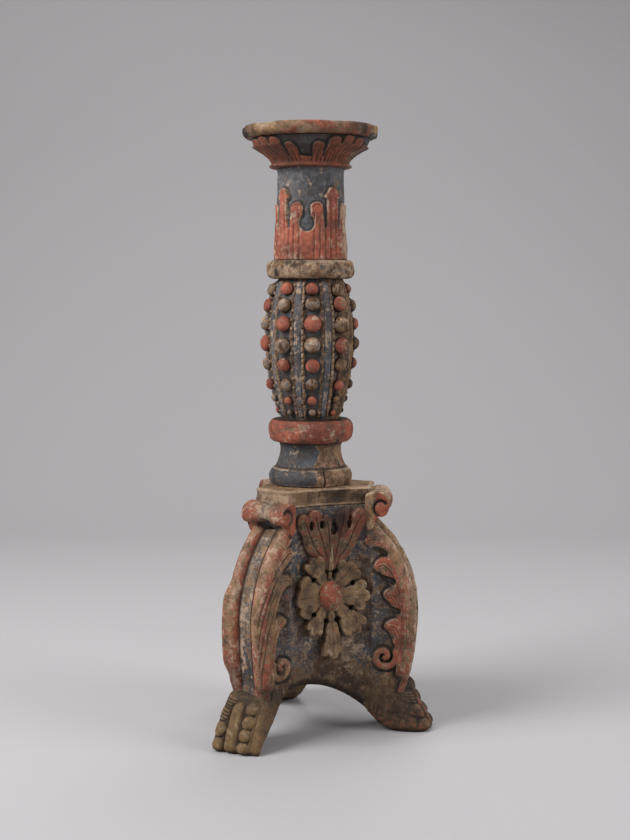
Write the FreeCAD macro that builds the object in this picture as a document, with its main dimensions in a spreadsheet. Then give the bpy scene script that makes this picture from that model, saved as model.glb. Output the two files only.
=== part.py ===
import FreeCAD, Part
import math
import os
import Sketcher

# A carved and painted altar candlestick. Origin: on the floor, on the stem axis. Front is -Y, up is +Z.

SIZES = (
    ("foot_height", 60, "ankle joint above the floor"),
    ("base_height", 345, "top of the three-sided base above the floor"),
    ("slab_thickness", 26, "three-cornered slab over the base"),
    ("stem_foot_height", 64, "moulded foot of the stem"),
    ("lower_ring_height", 34, "red ring under the bulb"),
    ("bulb_height", 208, "beaded bulb"),
    ("upper_ring_height", 28, "plain ring over the bulb"),
    ("neck_height", 134, "leafy neck"),
    ("calyx_height", 43, "flared leaf cup under the pan"),
    ("pan_thickness", 18, "round drip pan"),
    ("pan_radius", 101, "outside of the drip pan"),
    ("pan_edge_round", 6, "rounding of the pan's two edges"),
    ("dish_radius", 88, "shallow dish in the pan's top"),
    ("dish_depth", 3, "depth of that dish"),
    ("calyx_base_radius", 53, "cup where it meets the neck"),
    ("calyx_flare_radius", 82, "cup where the flare ends"),
    ("calyx_flare_rise", 29, "height of the flare"),
    ("calyx_flare_curve", 58, "radius of the hollow flare"),
    ("calyx_top_radius", 88, "cup under the pan"),
    ("calyx_relief", 4, "leaf thickness on the cup"),
    ("neck_base_radius", 51, "neck ground at the bottom"),
    ("neck_top_radius", 49, "neck ground at the top"),
    ("neck_relief", 3.5, "leaf thickness on the neck"),
    ("eyelet_radius", 9.5, "round eyelet between two neck leaves"),
    ("upper_ring_radius", 65.5, "outside of the plain ring"),
    ("lower_ring_radius", 63.5, "outside of the red ring"),
    ("ring_bulge", 11, "how far each ring swells past its flat faces"),
    ("bulb_top_radius", 48, "bulb ground at the top"),
    ("bulb_belly_radius", 64, "bulb ground at its widest"),
    ("bulb_belly_rise", 125, "height of the widest place over the bulb's foot"),
    ("bulb_base_radius", 42, "bulb ground at the bottom"),
    ("band_relief", 2.5, "raised band that carries one bead string"),
    ("band_end_gap", 4, "band stops short of the bulb's ends"),
    ("bead_radius", 11.5, "largest bead"),
    ("bead_sink", 2.5, "depth of a bead's centre under the band"),
    ("stem_bulge_radius", 60.5, "stem foot at its bottom edge"),
    ("stem_bulge_curve", 20, "radius of the round moulding"),
    ("stem_bulge_rise", 24, "height of the round moulding"),
    ("stem_step_radius", 57, "top of the round moulding"),
    ("stem_step_ledge", 3.5, "ledge over the round moulding"),
    ("stem_waist_radius", 45.5, "narrowest place of the stem foot"),
    ("stem_waist_rise", 53, "height of the narrowest place"),
    ("stem_cove_curve", 60, "radius of the hollow over the ledge"),
    ("tenon_radius", 20, "round tenons of the stem"),
    ("tenon_length", 36, "seated length of a stem tenon"),
    ("tenon_end_gap", 2, "air under the end of a tenon"),
    ("fit_clearance", 0.2, "radial play of every tenon and dowel"),
    ("pin_radius", 4, "iron pricket over the dish"),
    ("tang_radius", 3.5, "its tang"),
    ("pin_straight", 6, "straight part of the pricket over the dish"),
    ("pin_rise", 12, "tip of the pricket over the dish"),
    ("pin_hold", 30, "pricket's tang in the neck tenon"),
    ("nail_radius", 1.8, "shank of a pan nail"),
    ("nail_head_radius", 4, "head of a pan nail"),
    ("nail_head_height", 1.4, "head over the dish"),
    ("nail_length", 30, "shank under the head"),
    ("nail_circle", 58, "pan nails from the axis"),
    ("console_width", 64, "console block across its flat flanks"),
    ("flank_relief", 4, "carving that stands off each flank"),
    ("core_reach", 50, "core block to a console's back"),
    ("core_bottom", 80, "underside of the core block"),
    ("heel_reach", 82, "back edge of the ankle joint"),
    ("ankle_reach", 148, "front edge of the ankle joint"),
    ("belly_reach", 162, "outermost place of a console"),
    ("belly_height", 178, "height of that place"),
    ("throat_reach", 99, "hollow under the scroll roll"),
    ("throat_drop", 28, "that hollow under the base top"),
    ("roll_radius", 13, "scroll roll"),
    ("roll_reach", 121, "front of the scroll roll"),
    ("roll_drop", 10, "centre of the scroll roll under the base top"),
    ("roll_overhang", 2, "roll ends past the flank carving"),
    ("roll_crest_drop", 5, "crest of the scroll under the slab's top"),
    ("valley_depth", 7, "depth of the hollow between a console's two ribs"),
    ("rib_radius", 11, "round ribs"),
    ("lobe_radius", 11, "rounded leaf lobes on the flank"),
    ("lobe_inset", 26, "lobe centres from the outside curve"),
    ("curl_radius", 19, "spiral curl at the foot of the flank leaf"),
    ("curl_step", 4.6, "curl tightens by this each half turn"),
    ("curl_width", 5.6, "ribbon of the curl"),
    ("curl_reach", 116, "curl centre from the axis"),
    ("curl_height", 119, "curl centre above the floor"),
    ("sole_heel", 113, "back end of a sole"),
    ("short_heel", 150, "back end of the front left sole, which is shorter"),
    ("sole_toe", 176, "front end of the flat sole"),
    ("toe_edge_rise", 8, "front edge of the paw block"),
    ("toe_radius", 13, "largest toe knuckle"),
    ("toe_pitch", 24.5, "one toe to the next"),
    ("toe_low_reach", 178, "lowest knuckle from the axis"),
    ("toe_low_height", 13.2, "lowest knuckle above the floor"),
    ("toe_high_reach", 147, "highest knuckle from the axis"),
    ("toe_high_height", 49, "highest knuckle above the floor"),
    ("slab_reach", 93, "slab corner facet from the axis"),
    ("slab_corner", 62, "width of a corner facet"),
    ("slab_round", 5, "rounding of the slab's top edge"),
    ("slab_hollow", 280, "radius of the slab's hollow sides"),
    ("face_hollow", 280, "radius of the hollow faces"),
    ("panel_edge_reach", 96, "where a panel meets a console flank"),
    ("arch_crown", 76, "crown of the arch between two feet"),
    ("arch_spring", 34, "foot of that arch"),
    ("arch_peak", 79, "highest place of the front arch, which leans"),
    ("arch_peak_shift", 40, "that place left of the middle of the face"),
    ("arch_left_spring", 72, "foot of the front arch beside the left leg"),
    ("arch_right_spring", 20, "foot of the front arch beside the right leg"),
    ("rosette_drop", 132, "rosette centre under the base top"),
    ("rosette_radius", 57, "petal tips"),
    ("rosette_disc", 24, "plain disc under the petals"),
    ("rosette_depth", 13, "petals at their highest"),
    ("rosette_rim", 6, "petals at their tips"),
    ("rosette_cup", 5, "thickness of the plain disc"),
    ("petal_eye", 3.2, "drilled eye in each petal"),
    ("seat_sink", 1, "rosette seat cut into the panel"),
    ("boss_radius", 19, "button in the middle of the rosette"),
    ("boss_height", 21, "button over the rosette's disc"),
    ("spigot_radius", 5, "button spigot"),
    ("spigot_hold", 8, "button spigot in the panel"),
    ("leaf_width", 88, "upright leaf"),
    ("leaf_drop", 100, "bottom of the upright leaf under the base top"),
    ("leaf_rise", 95, "height of the upright leaf"),
    ("leaf_thickness", 8, "upright leaf over the panel"),
    ("dowel_radius", 6, "hidden dowels"),
    ("dowel_hold", 22, "a hidden dowel in each of its two pieces"),
    ("dowel_low", 140, "lower console dowel above the floor"),
    ("dowel_drop", 55, "upper console dowel under the base top"),
    ("foot_dowel_reach", 124, "foot dowel from the axis"),
    ("peg_reach", 76, "slab peg from the axis"),
    ("peg_hold", 16, "slab peg in each of its two pieces"),
)

# Shares of one leaf: across its half width, and up its height. Tall lobe, side lobe, and the notch between.
NECK_TALL_SHARES = (0.34, 0.76, 0.85)
NECK_SIDE_SHARES = (0.42, 0.86, 0.605, 0.66)
NECK_NOTCH_SHARES = (0.38, 0.47)
NECK_FOOT_SHARE = 0.30
EYELET_RISE_SHARE = 0.41
CALYX_TALL_SHARES = (0.36, 0.60, 0.97)
CALYX_SIDE_SHARES = (0.42, 0.92, 0.52, 0.80)
CALYX_NOTCH_SHARES = (0.39, 0.46)
CALYX_FOOT_SHARE = 0.30
UPRIGHT_TALL_SHARES = (0.24, 0.90, 1.0)
UPRIGHT_MID_SHARES = (0.30, 0.64, 0.90, 0.965)
UPRIGHT_SIDE_SHARES = (0.68, 1.0, 0.63, 0.70)
UPRIGHT_NOTCH_SHARES = (0.27, 0.58)
UPRIGHT_STEP_SHARES = (0.66, 0.54)
UPRIGHT_FOOT_SHARES = (0.15, 0.10)

# Bead heights up the bulb and bead sizes against the largest bead.
BEAD_RISE_SHARES = (0.057, 0.151, 0.257, 0.396, 0.540, 0.680, 0.817, 0.925)
BEAD_SIZE_SHARES = (0.435, 0.543, 0.739, 0.87, 0.978, 1.0, 0.913, 0.826)
# Knuckle sizes from the toe to the ankle.
TOE_SIZE_SHARES = (1.0, 0.98, 0.97, 0.86)
# A petal: across its half width and out along its length.
PETAL_SHARES = ((0.26, 0.37), (0.62, 0.55), (1.0, 0.72), (0.70, 0.90))
PETAL_HALF_SHARE = 0.27
EYE_REACH_SHARE = 0.52

STRINGS = 9
BAND_DEGREES = 15
LEAVES = 4
LOBES = 4
LOBE_FIRST_DEGREES = -6
LOBE_SWEEP_DEGREES = 39
PETALS = 8
LEAF_TURN_DEGREES = 16
STRING_TURN_DEGREES = 10
# Directions seen from above, counter-clockwise from +X.
LEGS = (("front_left", 210), ("front_right", 330), ("back", 90))
FACES = (("front", 270), ("right", 30), ("left", 150))


class Size:
    """A length: its value now, and the expression that drives it."""

    def __init__(self, value, text):
        self.value = float(value)
        self.text = text

    def __add__(self, other):
        other = as_size(other)
        return Size(self.value + other.value, f"({self.text} + {other.text})")

    def __sub__(self, other):
        other = as_size(other)
        return Size(self.value - other.value, f"({self.text} - {other.text})")

    def __mul__(self, other):
        other = as_size(other)
        return Size(self.value * other.value, f"({self.text} * {other.text})")

    def __truediv__(self, other):
        other = as_size(other)
        return Size(self.value / other.value, f"({self.text} / {other.text})")

    def __neg__(self):
        return Size(-self.value, f"(0 - {self.text})")

    __radd__ = __add__
    __rmul__ = __mul__


def as_size(number):
    """Turns a plain share into a Size; a Size stays as it is."""
    if isinstance(number, Size):
        return number
    return Size(number, f"({float(number):.9f})")


def root(size):
    """Square root of a Size."""
    return Size(math.sqrt(size.value), f"sqrt({size.text})")


def swell(across, along):
    """Radius of an arc that swells by `across` over `along` and ends square to `across`."""
    return (across * across + along * along) / (2 * across)


doc = FreeCAD.newDocument("candlestick")
sheet = doc.addObject("Spreadsheet::Sheet", "Sizes")
for row, (alias, number, meaning) in enumerate(SIZES, start=1):
    sheet.set(f"A{row}", meaning)
    sheet.set(f"B{row}", str(number))
    sheet.setAlias(f"B{row}", alias)
doc.recompute()
S = {alias: Size(sheet.get(alias), f"Sizes.{alias}") for alias, number, meaning in SIZES}
ZERO = as_size(0)


def origin(body, role):
    """The body's own origin plane or axis."""
    return next(feature for feature in body.Origin.OriginFeatures if feature.Role == role)


def new_body(name):
    """An empty body whose label names its file."""
    body = doc.addObject("PartDesign::Body", name)
    body.Label = name
    return body


def sketch_on(body, role, name, shift=None):
    """A sketch on one of the body's planes; `shift` moves its own origin in that plane."""
    sketch = body.newObject("Sketcher::SketchObject", f"{body.Name}_{name}")
    sketch.AttachmentSupport = [(origin(body, role), "")]
    sketch.MapMode = "FlatFace"
    if shift:
        sketch.setExpression("AttachmentOffset.Base.x", shift[0].text)
        sketch.setExpression("AttachmentOffset.Base.y", shift[1].text)
    return sketch


def bind(sketch, constraint, size):
    """Adds one dimension and binds it to the sheet."""
    index = sketch.addConstraint(constraint)
    sketch.setExpression(f"Constraints[{index}]", size.text)


def pin(sketch, geometry, place, x, y):
    """Fixes one point of the sketch by its two sizes."""
    bind(sketch, Sketcher.Constraint("DistanceX", -1, 1, geometry, place, x.value), x)
    bind(sketch, Sketcher.Constraint("DistanceY", -1, 1, geometry, place, y.value), y)


def arc_between(start, end, radius, turn):
    """The arc from start to end; turn is 1 counter-clockwise and -1 clockwise, less than half a circle."""
    dx = end[0].value - start[0].value
    dy = end[1].value - start[1].value
    chord = math.hypot(dx, dy)
    away = math.sqrt(radius.value ** 2 - (chord / 2) ** 2)
    cx = (start[0].value + end[0].value) / 2 - turn * dy / chord * away
    cy = (start[1].value + end[1].value) / 2 + turn * dx / chord * away
    first, last = (start, end) if turn > 0 else (end, start)
    begin = math.atan2(first[1].value - cy, first[0].value - cx)
    stop = math.atan2(last[1].value - cy, last[0].value - cx)
    circle = Part.Circle(FreeCAD.Vector(cx, cy, 0), FreeCAD.Vector(0, 0, 1), radius.value)
    return Part.ArcOfCircle(circle, begin, stop)


def outline(sketch, points, arcs=None):
    """Draws one closed outline. `arcs` gives (radius, turn) for the stretch that leaves a point."""
    arcs = arcs or {}
    points = [(as_size(x), as_size(y)) for x, y in points]
    ends = []
    for index, start in enumerate(points):
        end = points[(index + 1) % len(points)]
        if index in arcs:
            radius, turn = arcs[index]
            geometry = sketch.addGeometry(arc_between(start, end, radius, turn), False)
            bind(sketch, Sketcher.Constraint("Radius", geometry, radius.value), radius)
            ends.append((geometry, 1, 2) if turn > 0 else (geometry, 2, 1))
        else:
            a = FreeCAD.Vector(start[0].value, start[1].value, 0)
            b = FreeCAD.Vector(end[0].value, end[1].value, 0)
            ends.append((sketch.addGeometry(Part.LineSegment(a, b), False), 1, 2))
    for index, (geometry, first, last) in enumerate(ends):
        after = ends[(index + 1) % len(ends)]
        sketch.addConstraint(Sketcher.Constraint("Coincident", geometry, last, after[0], after[1]))
        pin(sketch, geometry, first, *points[index])


def circle(sketch, x, y, radius):
    """Draws one circle."""
    x, y = as_size(x), as_size(y)
    middle = FreeCAD.Vector(x.value, y.value, 0)
    shape = Part.Circle(middle, FreeCAD.Vector(0, 0, 1), radius.value)
    geometry = sketch.addGeometry(shape, False)
    bind(sketch, Sketcher.Constraint("Radius", geometry, radius.value), radius)
    pin(sketch, geometry, 3, x, y)


def half_circle(sketch, middle, radius, upper):
    """Draws a half circle whose ends lie on the sketch's own level axis."""
    centre = FreeCAD.Vector(middle.value, 0, 0)
    shape = Part.Circle(centre, FreeCAD.Vector(0, 0, 1), radius.value)
    begin = 0 if upper else math.pi
    geometry = sketch.addGeometry(Part.ArcOfCircle(shape, begin, begin + math.pi), False)
    bind(sketch, Sketcher.Constraint("Radius", geometry, radius.value), radius)
    pin(sketch, geometry, 3, middle, ZERO)
    sketch.addConstraint(Sketcher.Constraint("PointOnObject", geometry, 1, -1))
    sketch.addConstraint(Sketcher.Constraint("PointOnObject", geometry, 2, -1))


def turn(body, name, points, arcs=None, cut=False, degrees=360):
    """Turns an outline of (radius, height) points about the upright axis; `cut` turns it away."""
    sketch = sketch_on(body, "XZ_Plane", name)
    outline(sketch, points, arcs)
    kind = "PartDesign::Groove" if cut else "PartDesign::Revolution"
    feature = body.newObject(kind, f"{body.Name}_{name}_turned")
    feature.Profile = sketch
    feature.ReferenceAxis = (sketch, ["V_Axis"])
    feature.Midplane = degrees < 360
    feature.Angle = degrees
    body.Tip = feature
    return feature


def pad(sketch, length, both=False, back=False):
    """Pads a sketch; `both` spreads it evenly to both sides, `back` to the other side."""
    body = sketch.getParentGeoFeatureGroup()
    feature = body.newObject("PartDesign::Pad", f"{sketch.Name}_pad")
    feature.Profile = sketch
    feature.SideType = "Symmetric" if both else "One side"
    feature.Reversed = back
    feature.setExpression("Length", length.text)
    body.Tip = feature
    return feature


def pocket(sketch, length):
    """Cuts a sketch evenly to both sides."""
    body = sketch.getParentGeoFeatureGroup()
    feature = body.newObject("PartDesign::Pocket", f"{sketch.Name}_cut")
    feature.Profile = sketch
    feature.SideType = "Symmetric"
    feature.setExpression("Length", length.text)
    body.Tip = feature
    return feature


def place(thing, x=ZERO, y=ZERO, z=ZERO):
    """Binds an object's place to the sheet."""
    thing.setExpression("Placement.Base.x", as_size(x).text)
    thing.setExpression("Placement.Base.y", as_size(y).text)
    thing.setExpression("Placement.Base.z", as_size(z).text)


def ball(body, name, radius, x, y, z):
    """Adds a ball."""
    feature = body.newObject("PartDesign::AdditiveSphere", f"{body.Name}_{name}")
    feature.setExpression("Radius", radius.text)
    place(feature, x, y, z)
    body.Tip = feature
    return feature


def bore(body, name, radius, depth, x=ZERO, y=ZERO, z=ZERO, along=FreeCAD.Vector(0, 0, 1)):
    """Cuts a round bore from a place along a direction."""
    feature = body.newObject("PartDesign::SubtractiveCylinder", f"{body.Name}_{name}")
    feature.setExpression("Radius", radius.text)
    feature.setExpression("Height", depth.text)
    feature.Placement = FreeCAD.Placement(FreeCAD.Vector(), FreeCAD.Rotation(FreeCAD.Vector(0, 0, 1), along))
    place(feature, x, y, z)
    body.Tip = feature
    return feature


def ring_of(body, name, originals, count, axis, degrees=360):
    """Repeats features about an axis."""
    feature = body.newObject("PartDesign::PolarPattern", f"{body.Name}_{name}")
    feature.Originals = originals
    feature.Axis = axis
    feature.Angle = degrees
    feature.Occurrences = count
    body.Tip = feature
    return feature


def stand(body, degrees):
    """Turns a body about the stem axis."""
    spin = FreeCAD.Rotation(FreeCAD.Vector(0, 0, 1), degrees)
    body.Placement = FreeCAD.Placement(FreeCAD.Vector(), spin)


def lobe_tip(points, arcs, left, right, shoulder, tip):
    """Adds one lobe, drawn from right to left, that rises from its shoulders to a round tip."""
    arcs[len(points)] = (swell(tip - shoulder, (right - left) / 2), 1)
    points.append((right, shoulder))
    points.append((left, shoulder))


def leaf_outline(sketch, half, height, tall, side, notch, foot):
    """Draws a three-lobed leaf that stands on the sketch's level axis."""
    points = [(-half, ZERO), (half, ZERO), (half, height * foot)]
    arcs = {}
    shoulder, tip = height * side[2], height * side[3]
    lobe_tip(points, arcs, half * side[0], half * side[1], shoulder, tip)
    points.append((half * notch[0], height * notch[1]))
    lobe_tip(points, arcs, half * -tall[0], half * tall[0], height * tall[1], height * tall[2])
    points.append((half * -notch[0], height * notch[1]))
    lobe_tip(points, arcs, half * -side[1], half * -side[0], shoulder, tip)
    points.append((-half, height * foot))
    outline(sketch, points, arcs)


# Heights of the joints, from the floor up.
slab_top = S["base_height"] + S["slab_thickness"]
throat_height = S["base_height"] - S["throat_drop"]
roll_height = S["base_height"] - S["roll_drop"]
rosette_height = S["base_height"] - S["rosette_drop"]
leaf_foot = S["base_height"] - S["leaf_drop"]
dowel_levels = {"dowel_low": S["dowel_low"], "dowel_high": S["base_height"] - S["dowel_drop"]}
ring_low_z = slab_top + S["stem_foot_height"]
bulb_z = ring_low_z + S["lower_ring_height"]
ring_high_z = bulb_z + S["bulb_height"]
neck_z = ring_high_z + S["upper_ring_height"]
calyx_z = neck_z + S["neck_height"]
pan_z = calyx_z + S["calyx_height"]
mortise_radius = S["tenon_radius"] + S["fit_clearance"]
mortise_depth = S["tenon_length"] + S["tenon_end_gap"]
pin_bore = S["tang_radius"] + S["fit_clearance"]
dowel_bore = S["dowel_radius"] + S["fit_clearance"]
console_half = S["console_width"] / 2
carved_width = S["console_width"] + S["flank_relief"] * 2
sixty_sin = math.sin(math.radians(60))
sixty_cos = math.cos(math.radians(60))


def make_stem_foot():
    """The stem's moulded foot: a round moulding, a ledge and a hollow waist, with its tenon below."""
    body = new_body("stem_foot")
    tenon = S["slab_thickness"] + S["tenon_length"]
    floor = S["stem_foot_height"] - mortise_depth
    points = (
        (ZERO, -tenon),
        (S["tenon_radius"], -tenon),
        (S["tenon_radius"], ZERO),
        (S["stem_bulge_radius"], ZERO),
        (S["stem_step_radius"], S["stem_bulge_rise"]),
        (S["stem_step_radius"] - S["stem_step_ledge"], S["stem_bulge_rise"]),
        (S["stem_waist_radius"], S["stem_waist_rise"]),
        (S["stem_waist_radius"], S["stem_foot_height"]),
        (mortise_radius, S["stem_foot_height"]),
        (mortise_radius, floor),
        (ZERO, floor),
    )
    turn(body, "profile", points, {3: (S["stem_bulge_curve"], 1), 5: (S["stem_cove_curve"], -1)})
    place(body, z=slab_top)


def make_ring(name, radius, height, z):
    """A loose turned ring that a tenon passes through."""
    body = new_body(name)
    flat = radius - S["ring_bulge"]
    points = ((mortise_radius, ZERO), (flat, ZERO), (flat, height), (mortise_radius, height))
    turn(body, "profile", points, {1: (swell(S["ring_bulge"], height / 2), 1)})
    place(body, z=z)


def bulb_reach(rise):
    """Radius of the bulb's ground at a height above its foot."""
    upper = S["bulb_height"] - S["bulb_belly_rise"]
    below = rise.value < S["bulb_belly_rise"].value
    end = S["bulb_base_radius"] if below else S["bulb_top_radius"]
    span = S["bulb_belly_rise"] if below else upper
    curve = swell(S["bulb_belly_radius"] - end, span)
    off = rise - S["bulb_belly_rise"]
    return S["bulb_belly_radius"] - curve + root(curve * curve - off * off)


def make_bulb():
    """The bulb: a turned core, nine raised bands, and eight beads of graded size on each band."""
    body = new_body("baluster_bulb")
    tenon = S["lower_ring_height"] + S["tenon_length"]
    upper = S["bulb_height"] - S["bulb_belly_rise"]
    low_curve = swell(S["bulb_belly_radius"] - S["bulb_base_radius"], S["bulb_belly_rise"])
    high_curve = swell(S["bulb_belly_radius"] - S["bulb_top_radius"], upper)
    floor = S["bulb_height"] - mortise_depth
    points = (
        (ZERO, -tenon),
        (S["tenon_radius"], -tenon),
        (S["tenon_radius"], ZERO),
        (S["bulb_base_radius"], ZERO),
        (S["bulb_belly_radius"], S["bulb_belly_rise"]),
        (S["bulb_top_radius"], S["bulb_height"]),
        (mortise_radius, S["bulb_height"]),
        (mortise_radius, floor),
        (ZERO, floor),
    )
    turn(body, "core", points, {3: (low_curve, 1), 4: (high_curve, 1)})
    low = S["band_end_gap"]
    high = S["bulb_height"] - S["band_end_gap"]
    lift = S["band_relief"]
    inside = (S["bulb_base_radius"] + mortise_radius) / 2
    points = (
        (inside, low),
        (bulb_reach(low) + lift, low),
        (S["bulb_belly_radius"] + lift, S["bulb_belly_rise"]),
        (bulb_reach(high) + lift, high),
        (inside, high),
    )
    arcs = {1: (low_curve + lift, 1), 2: (high_curve + lift, 1)}
    around = (origin(body, "Z_Axis"), [""])
    band = turn(body, "band", points, arcs, degrees=BAND_DEGREES)
    ring_of(body, "bands", [band], STRINGS, around)
    for number, rise_share in enumerate(BEAD_RISE_SHARES, start=1):
        rise = S["bulb_height"] * rise_share
        size_share = BEAD_SIZE_SHARES[number - 1]
        reach = bulb_reach(rise) + lift - S["bead_sink"] * size_share
        bead = ball(body, f"bead_{number}", S["bead_radius"] * size_share, reach, ZERO, rise)
        ring_of(body, f"bead_ring_{number}", [bead], STRINGS, around)
    stand(body, STRING_TURN_DEGREES)
    place(body, z=bulb_z)


def make_neck():
    """The neck: a slightly tapered shaft wrapped in four lobed leaves with round eyelets between them."""
    body = new_body("neck_shaft")
    tenon = S["upper_ring_height"] + S["tenon_length"]
    top = S["neck_height"] + S["tenon_length"]
    points = (
        (ZERO, -tenon),
        (S["tenon_radius"], -tenon),
        (S["tenon_radius"], ZERO),
        (S["neck_base_radius"], ZERO),
        (S["neck_top_radius"], S["neck_height"]),
        (S["tenon_radius"], S["neck_height"]),
        (S["tenon_radius"], top),
        (pin_bore, top),
        (pin_bore, top - S["pin_hold"] - S["tenon_end_gap"]),
        (ZERO, top - S["pin_hold"] - S["tenon_end_gap"]),
    )
    turn(body, "shaft", points)
    outer = S["neck_base_radius"] + S["neck_relief"]
    half = outer * math.sin(math.radians(45))
    sketch = sketch_on(body, "XZ_Plane", "leaf")
    shares = (NECK_TALL_SHARES, NECK_SIDE_SHARES, NECK_NOTCH_SHARES, NECK_FOOT_SHARE)
    leaf_outline(sketch, half, S["neck_height"], *shares)
    leaf = pad(sketch, outer * 2)
    ring_of(body, "leaves", [leaf], LEAVES, (origin(body, "Z_Axis"), [""]))
    points = (
        (outer, ZERO),
        (outer * 3, ZERO),
        (outer * 3, S["neck_height"]),
        (S["neck_top_radius"] + S["neck_relief"], S["neck_height"]),
    )
    turn(body, "trim", points, cut=True)
    reach = S["neck_base_radius"] * math.cos(math.radians(45))
    out = FreeCAD.Vector(1, 1, 0)
    rise = S["neck_height"] * EYELET_RISE_SHARE
    eyelet = bore(body, "eyelet", S["eyelet_radius"], S["neck_relief"] * 4, reach, reach, rise, out)
    ring_of(body, "eyelets", [eyelet], LEAVES, (origin(body, "Z_Axis"), [""]))
    stand(body, LEAF_TURN_DEGREES)
    place(body, z=neck_z)


def make_calyx():
    """The flared cup: a hollow-sided cone with four three-lobed leaves, on the neck's upper tenon."""
    body = new_body("pan_calyx")
    points = (
        (mortise_radius, ZERO),
        (S["calyx_base_radius"], ZERO),
        (S["calyx_flare_radius"], S["calyx_flare_rise"]),
        (S["calyx_top_radius"], S["calyx_height"]),
        (pin_bore, S["calyx_height"]),
        (pin_bore, mortise_depth),
        (mortise_radius, mortise_depth),
    )
    turn(body, "cup", points, {1: (S["calyx_flare_curve"], -1)})
    lift = S["calyx_relief"]
    wide = S["calyx_top_radius"] + lift
    half = wide * math.sin(math.radians(45))
    sketch = sketch_on(body, "XZ_Plane", "leaf")
    shares = (CALYX_TALL_SHARES, CALYX_SIDE_SHARES, CALYX_NOTCH_SHARES, CALYX_FOOT_SHARE)
    leaf_outline(sketch, half, S["calyx_height"], *shares)
    leaf = pad(sketch, wide * 2)
    bore(body, "mortise", mortise_radius, mortise_depth)
    ring_of(body, "leaves", [leaf], LEAVES, (origin(body, "Z_Axis"), [""]))
    bore(body, "mortise_clear", mortise_radius, mortise_depth)
    bore(body, "pin_bore", pin_bore, S["calyx_height"])
    points = (
        (S["calyx_base_radius"] + lift, ZERO),
        (wide * 3, ZERO),
        (wide * 3, S["calyx_height"]),
        (S["calyx_top_radius"] + lift, S["calyx_height"]),
        (S["calyx_flare_radius"] + lift, S["calyx_flare_rise"]),
    )
    turn(body, "trim", points, {4: (S["calyx_flare_curve"], 1)}, cut=True)
    stand(body, LEAF_TURN_DEGREES)
    place(body, z=calyx_z)


def make_pan():
    """The drip pan: a thick disc with rounded edges, a shallow dish and holes for pricket and nails."""
    body = new_body("drip_pan")
    soft = S["pan_edge_round"]
    floor = S["pan_thickness"] - S["dish_depth"]
    points = (
        (pin_bore, ZERO),
        (S["pan_radius"] - soft, ZERO),
        (S["pan_radius"], soft),
        (S["pan_radius"], S["pan_thickness"] - soft),
        (S["pan_radius"] - soft, S["pan_thickness"]),
        (S["dish_radius"], S["pan_thickness"]),
        (S["dish_radius"] - S["dish_depth"], floor),
        (pin_bore, floor),
    )
    turn(body, "disc", points, {1: (soft, 1), 3: (soft, 1)})
    hole = bore(body, "nail_hole", S["nail_radius"] + S["fit_clearance"], S["pan_thickness"], S["nail_circle"])
    ring_of(body, "nail_holes", [hole], LEAVES, (origin(body, "Z_Axis"), [""]))
    stand(body, LEAF_TURN_DEGREES)
    place(body, z=pan_z)


def make_pricket():
    """The short iron pricket and its tang, driven through pan and cup into the neck."""
    body = new_body("pricket")
    floor = S["pan_thickness"] - S["dish_depth"]
    tang = floor + S["calyx_height"] - S["tenon_length"] + S["pin_hold"]
    points = (
        (ZERO, -tang),
        (S["tang_radius"], -tang),
        (S["tang_radius"], ZERO),
        (S["pin_radius"], ZERO),
        (S["pin_radius"], S["pin_straight"]),
        (ZERO, S["pin_rise"]),
    )
    turn(body, "spike", points)
    place(body, z=pan_z + floor)


def make_slab():
    """The three-cornered slab with hollow sides, cut-off corners and a rounded top edge."""
    body = new_body("plinth_slab")
    sketch = sketch_on(body, "XY_Plane", "plan")
    points = []
    arcs = {}
    half = S["slab_corner"] / 2
    for name, degrees in sorted(LEGS, key=lambda leg: leg[1]):
        c = math.cos(math.radians(degrees))
        s = math.sin(math.radians(degrees))
        points.append((S["slab_reach"] * c + half * s, S["slab_reach"] * s - half * c))
        arcs[len(points)] = (S["slab_hollow"], -1)
        points.append((S["slab_reach"] * c - half * s, S["slab_reach"] * s + half * c))
    outline(sketch, points, arcs)
    circle(sketch, ZERO, ZERO, mortise_radius)
    board = pad(sketch, S["slab_thickness"])
    doc.recompute()
    edges = []
    for number, edge in enumerate(board.Shape.Edges, start=1):
        box = edge.BoundBox
        level = box.ZMin > S["slab_thickness"].value * 0.99
        outside = math.hypot(edge.CenterOfMass.x, edge.CenterOfMass.y) > S["tenon_radius"].value
        if level and outside:
            edges.append(f"Edge{number}")
    soft = body.newObject("PartDesign::Fillet", "plinth_slab_soft_edge")
    soft.Base = (board, edges)
    soft.setExpression("Radius", S["slab_round"].text)
    body.Tip = soft
    depth = S["peg_hold"] + S["tenon_end_gap"]
    hole = bore(body, "peg_hole", dowel_bore, depth, ZERO, S["peg_reach"])
    ring_of(body, "peg_holes", [hole], len(LEGS), (origin(body, "Z_Axis"), [""]))
    place(body, z=S["base_height"])


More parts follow.
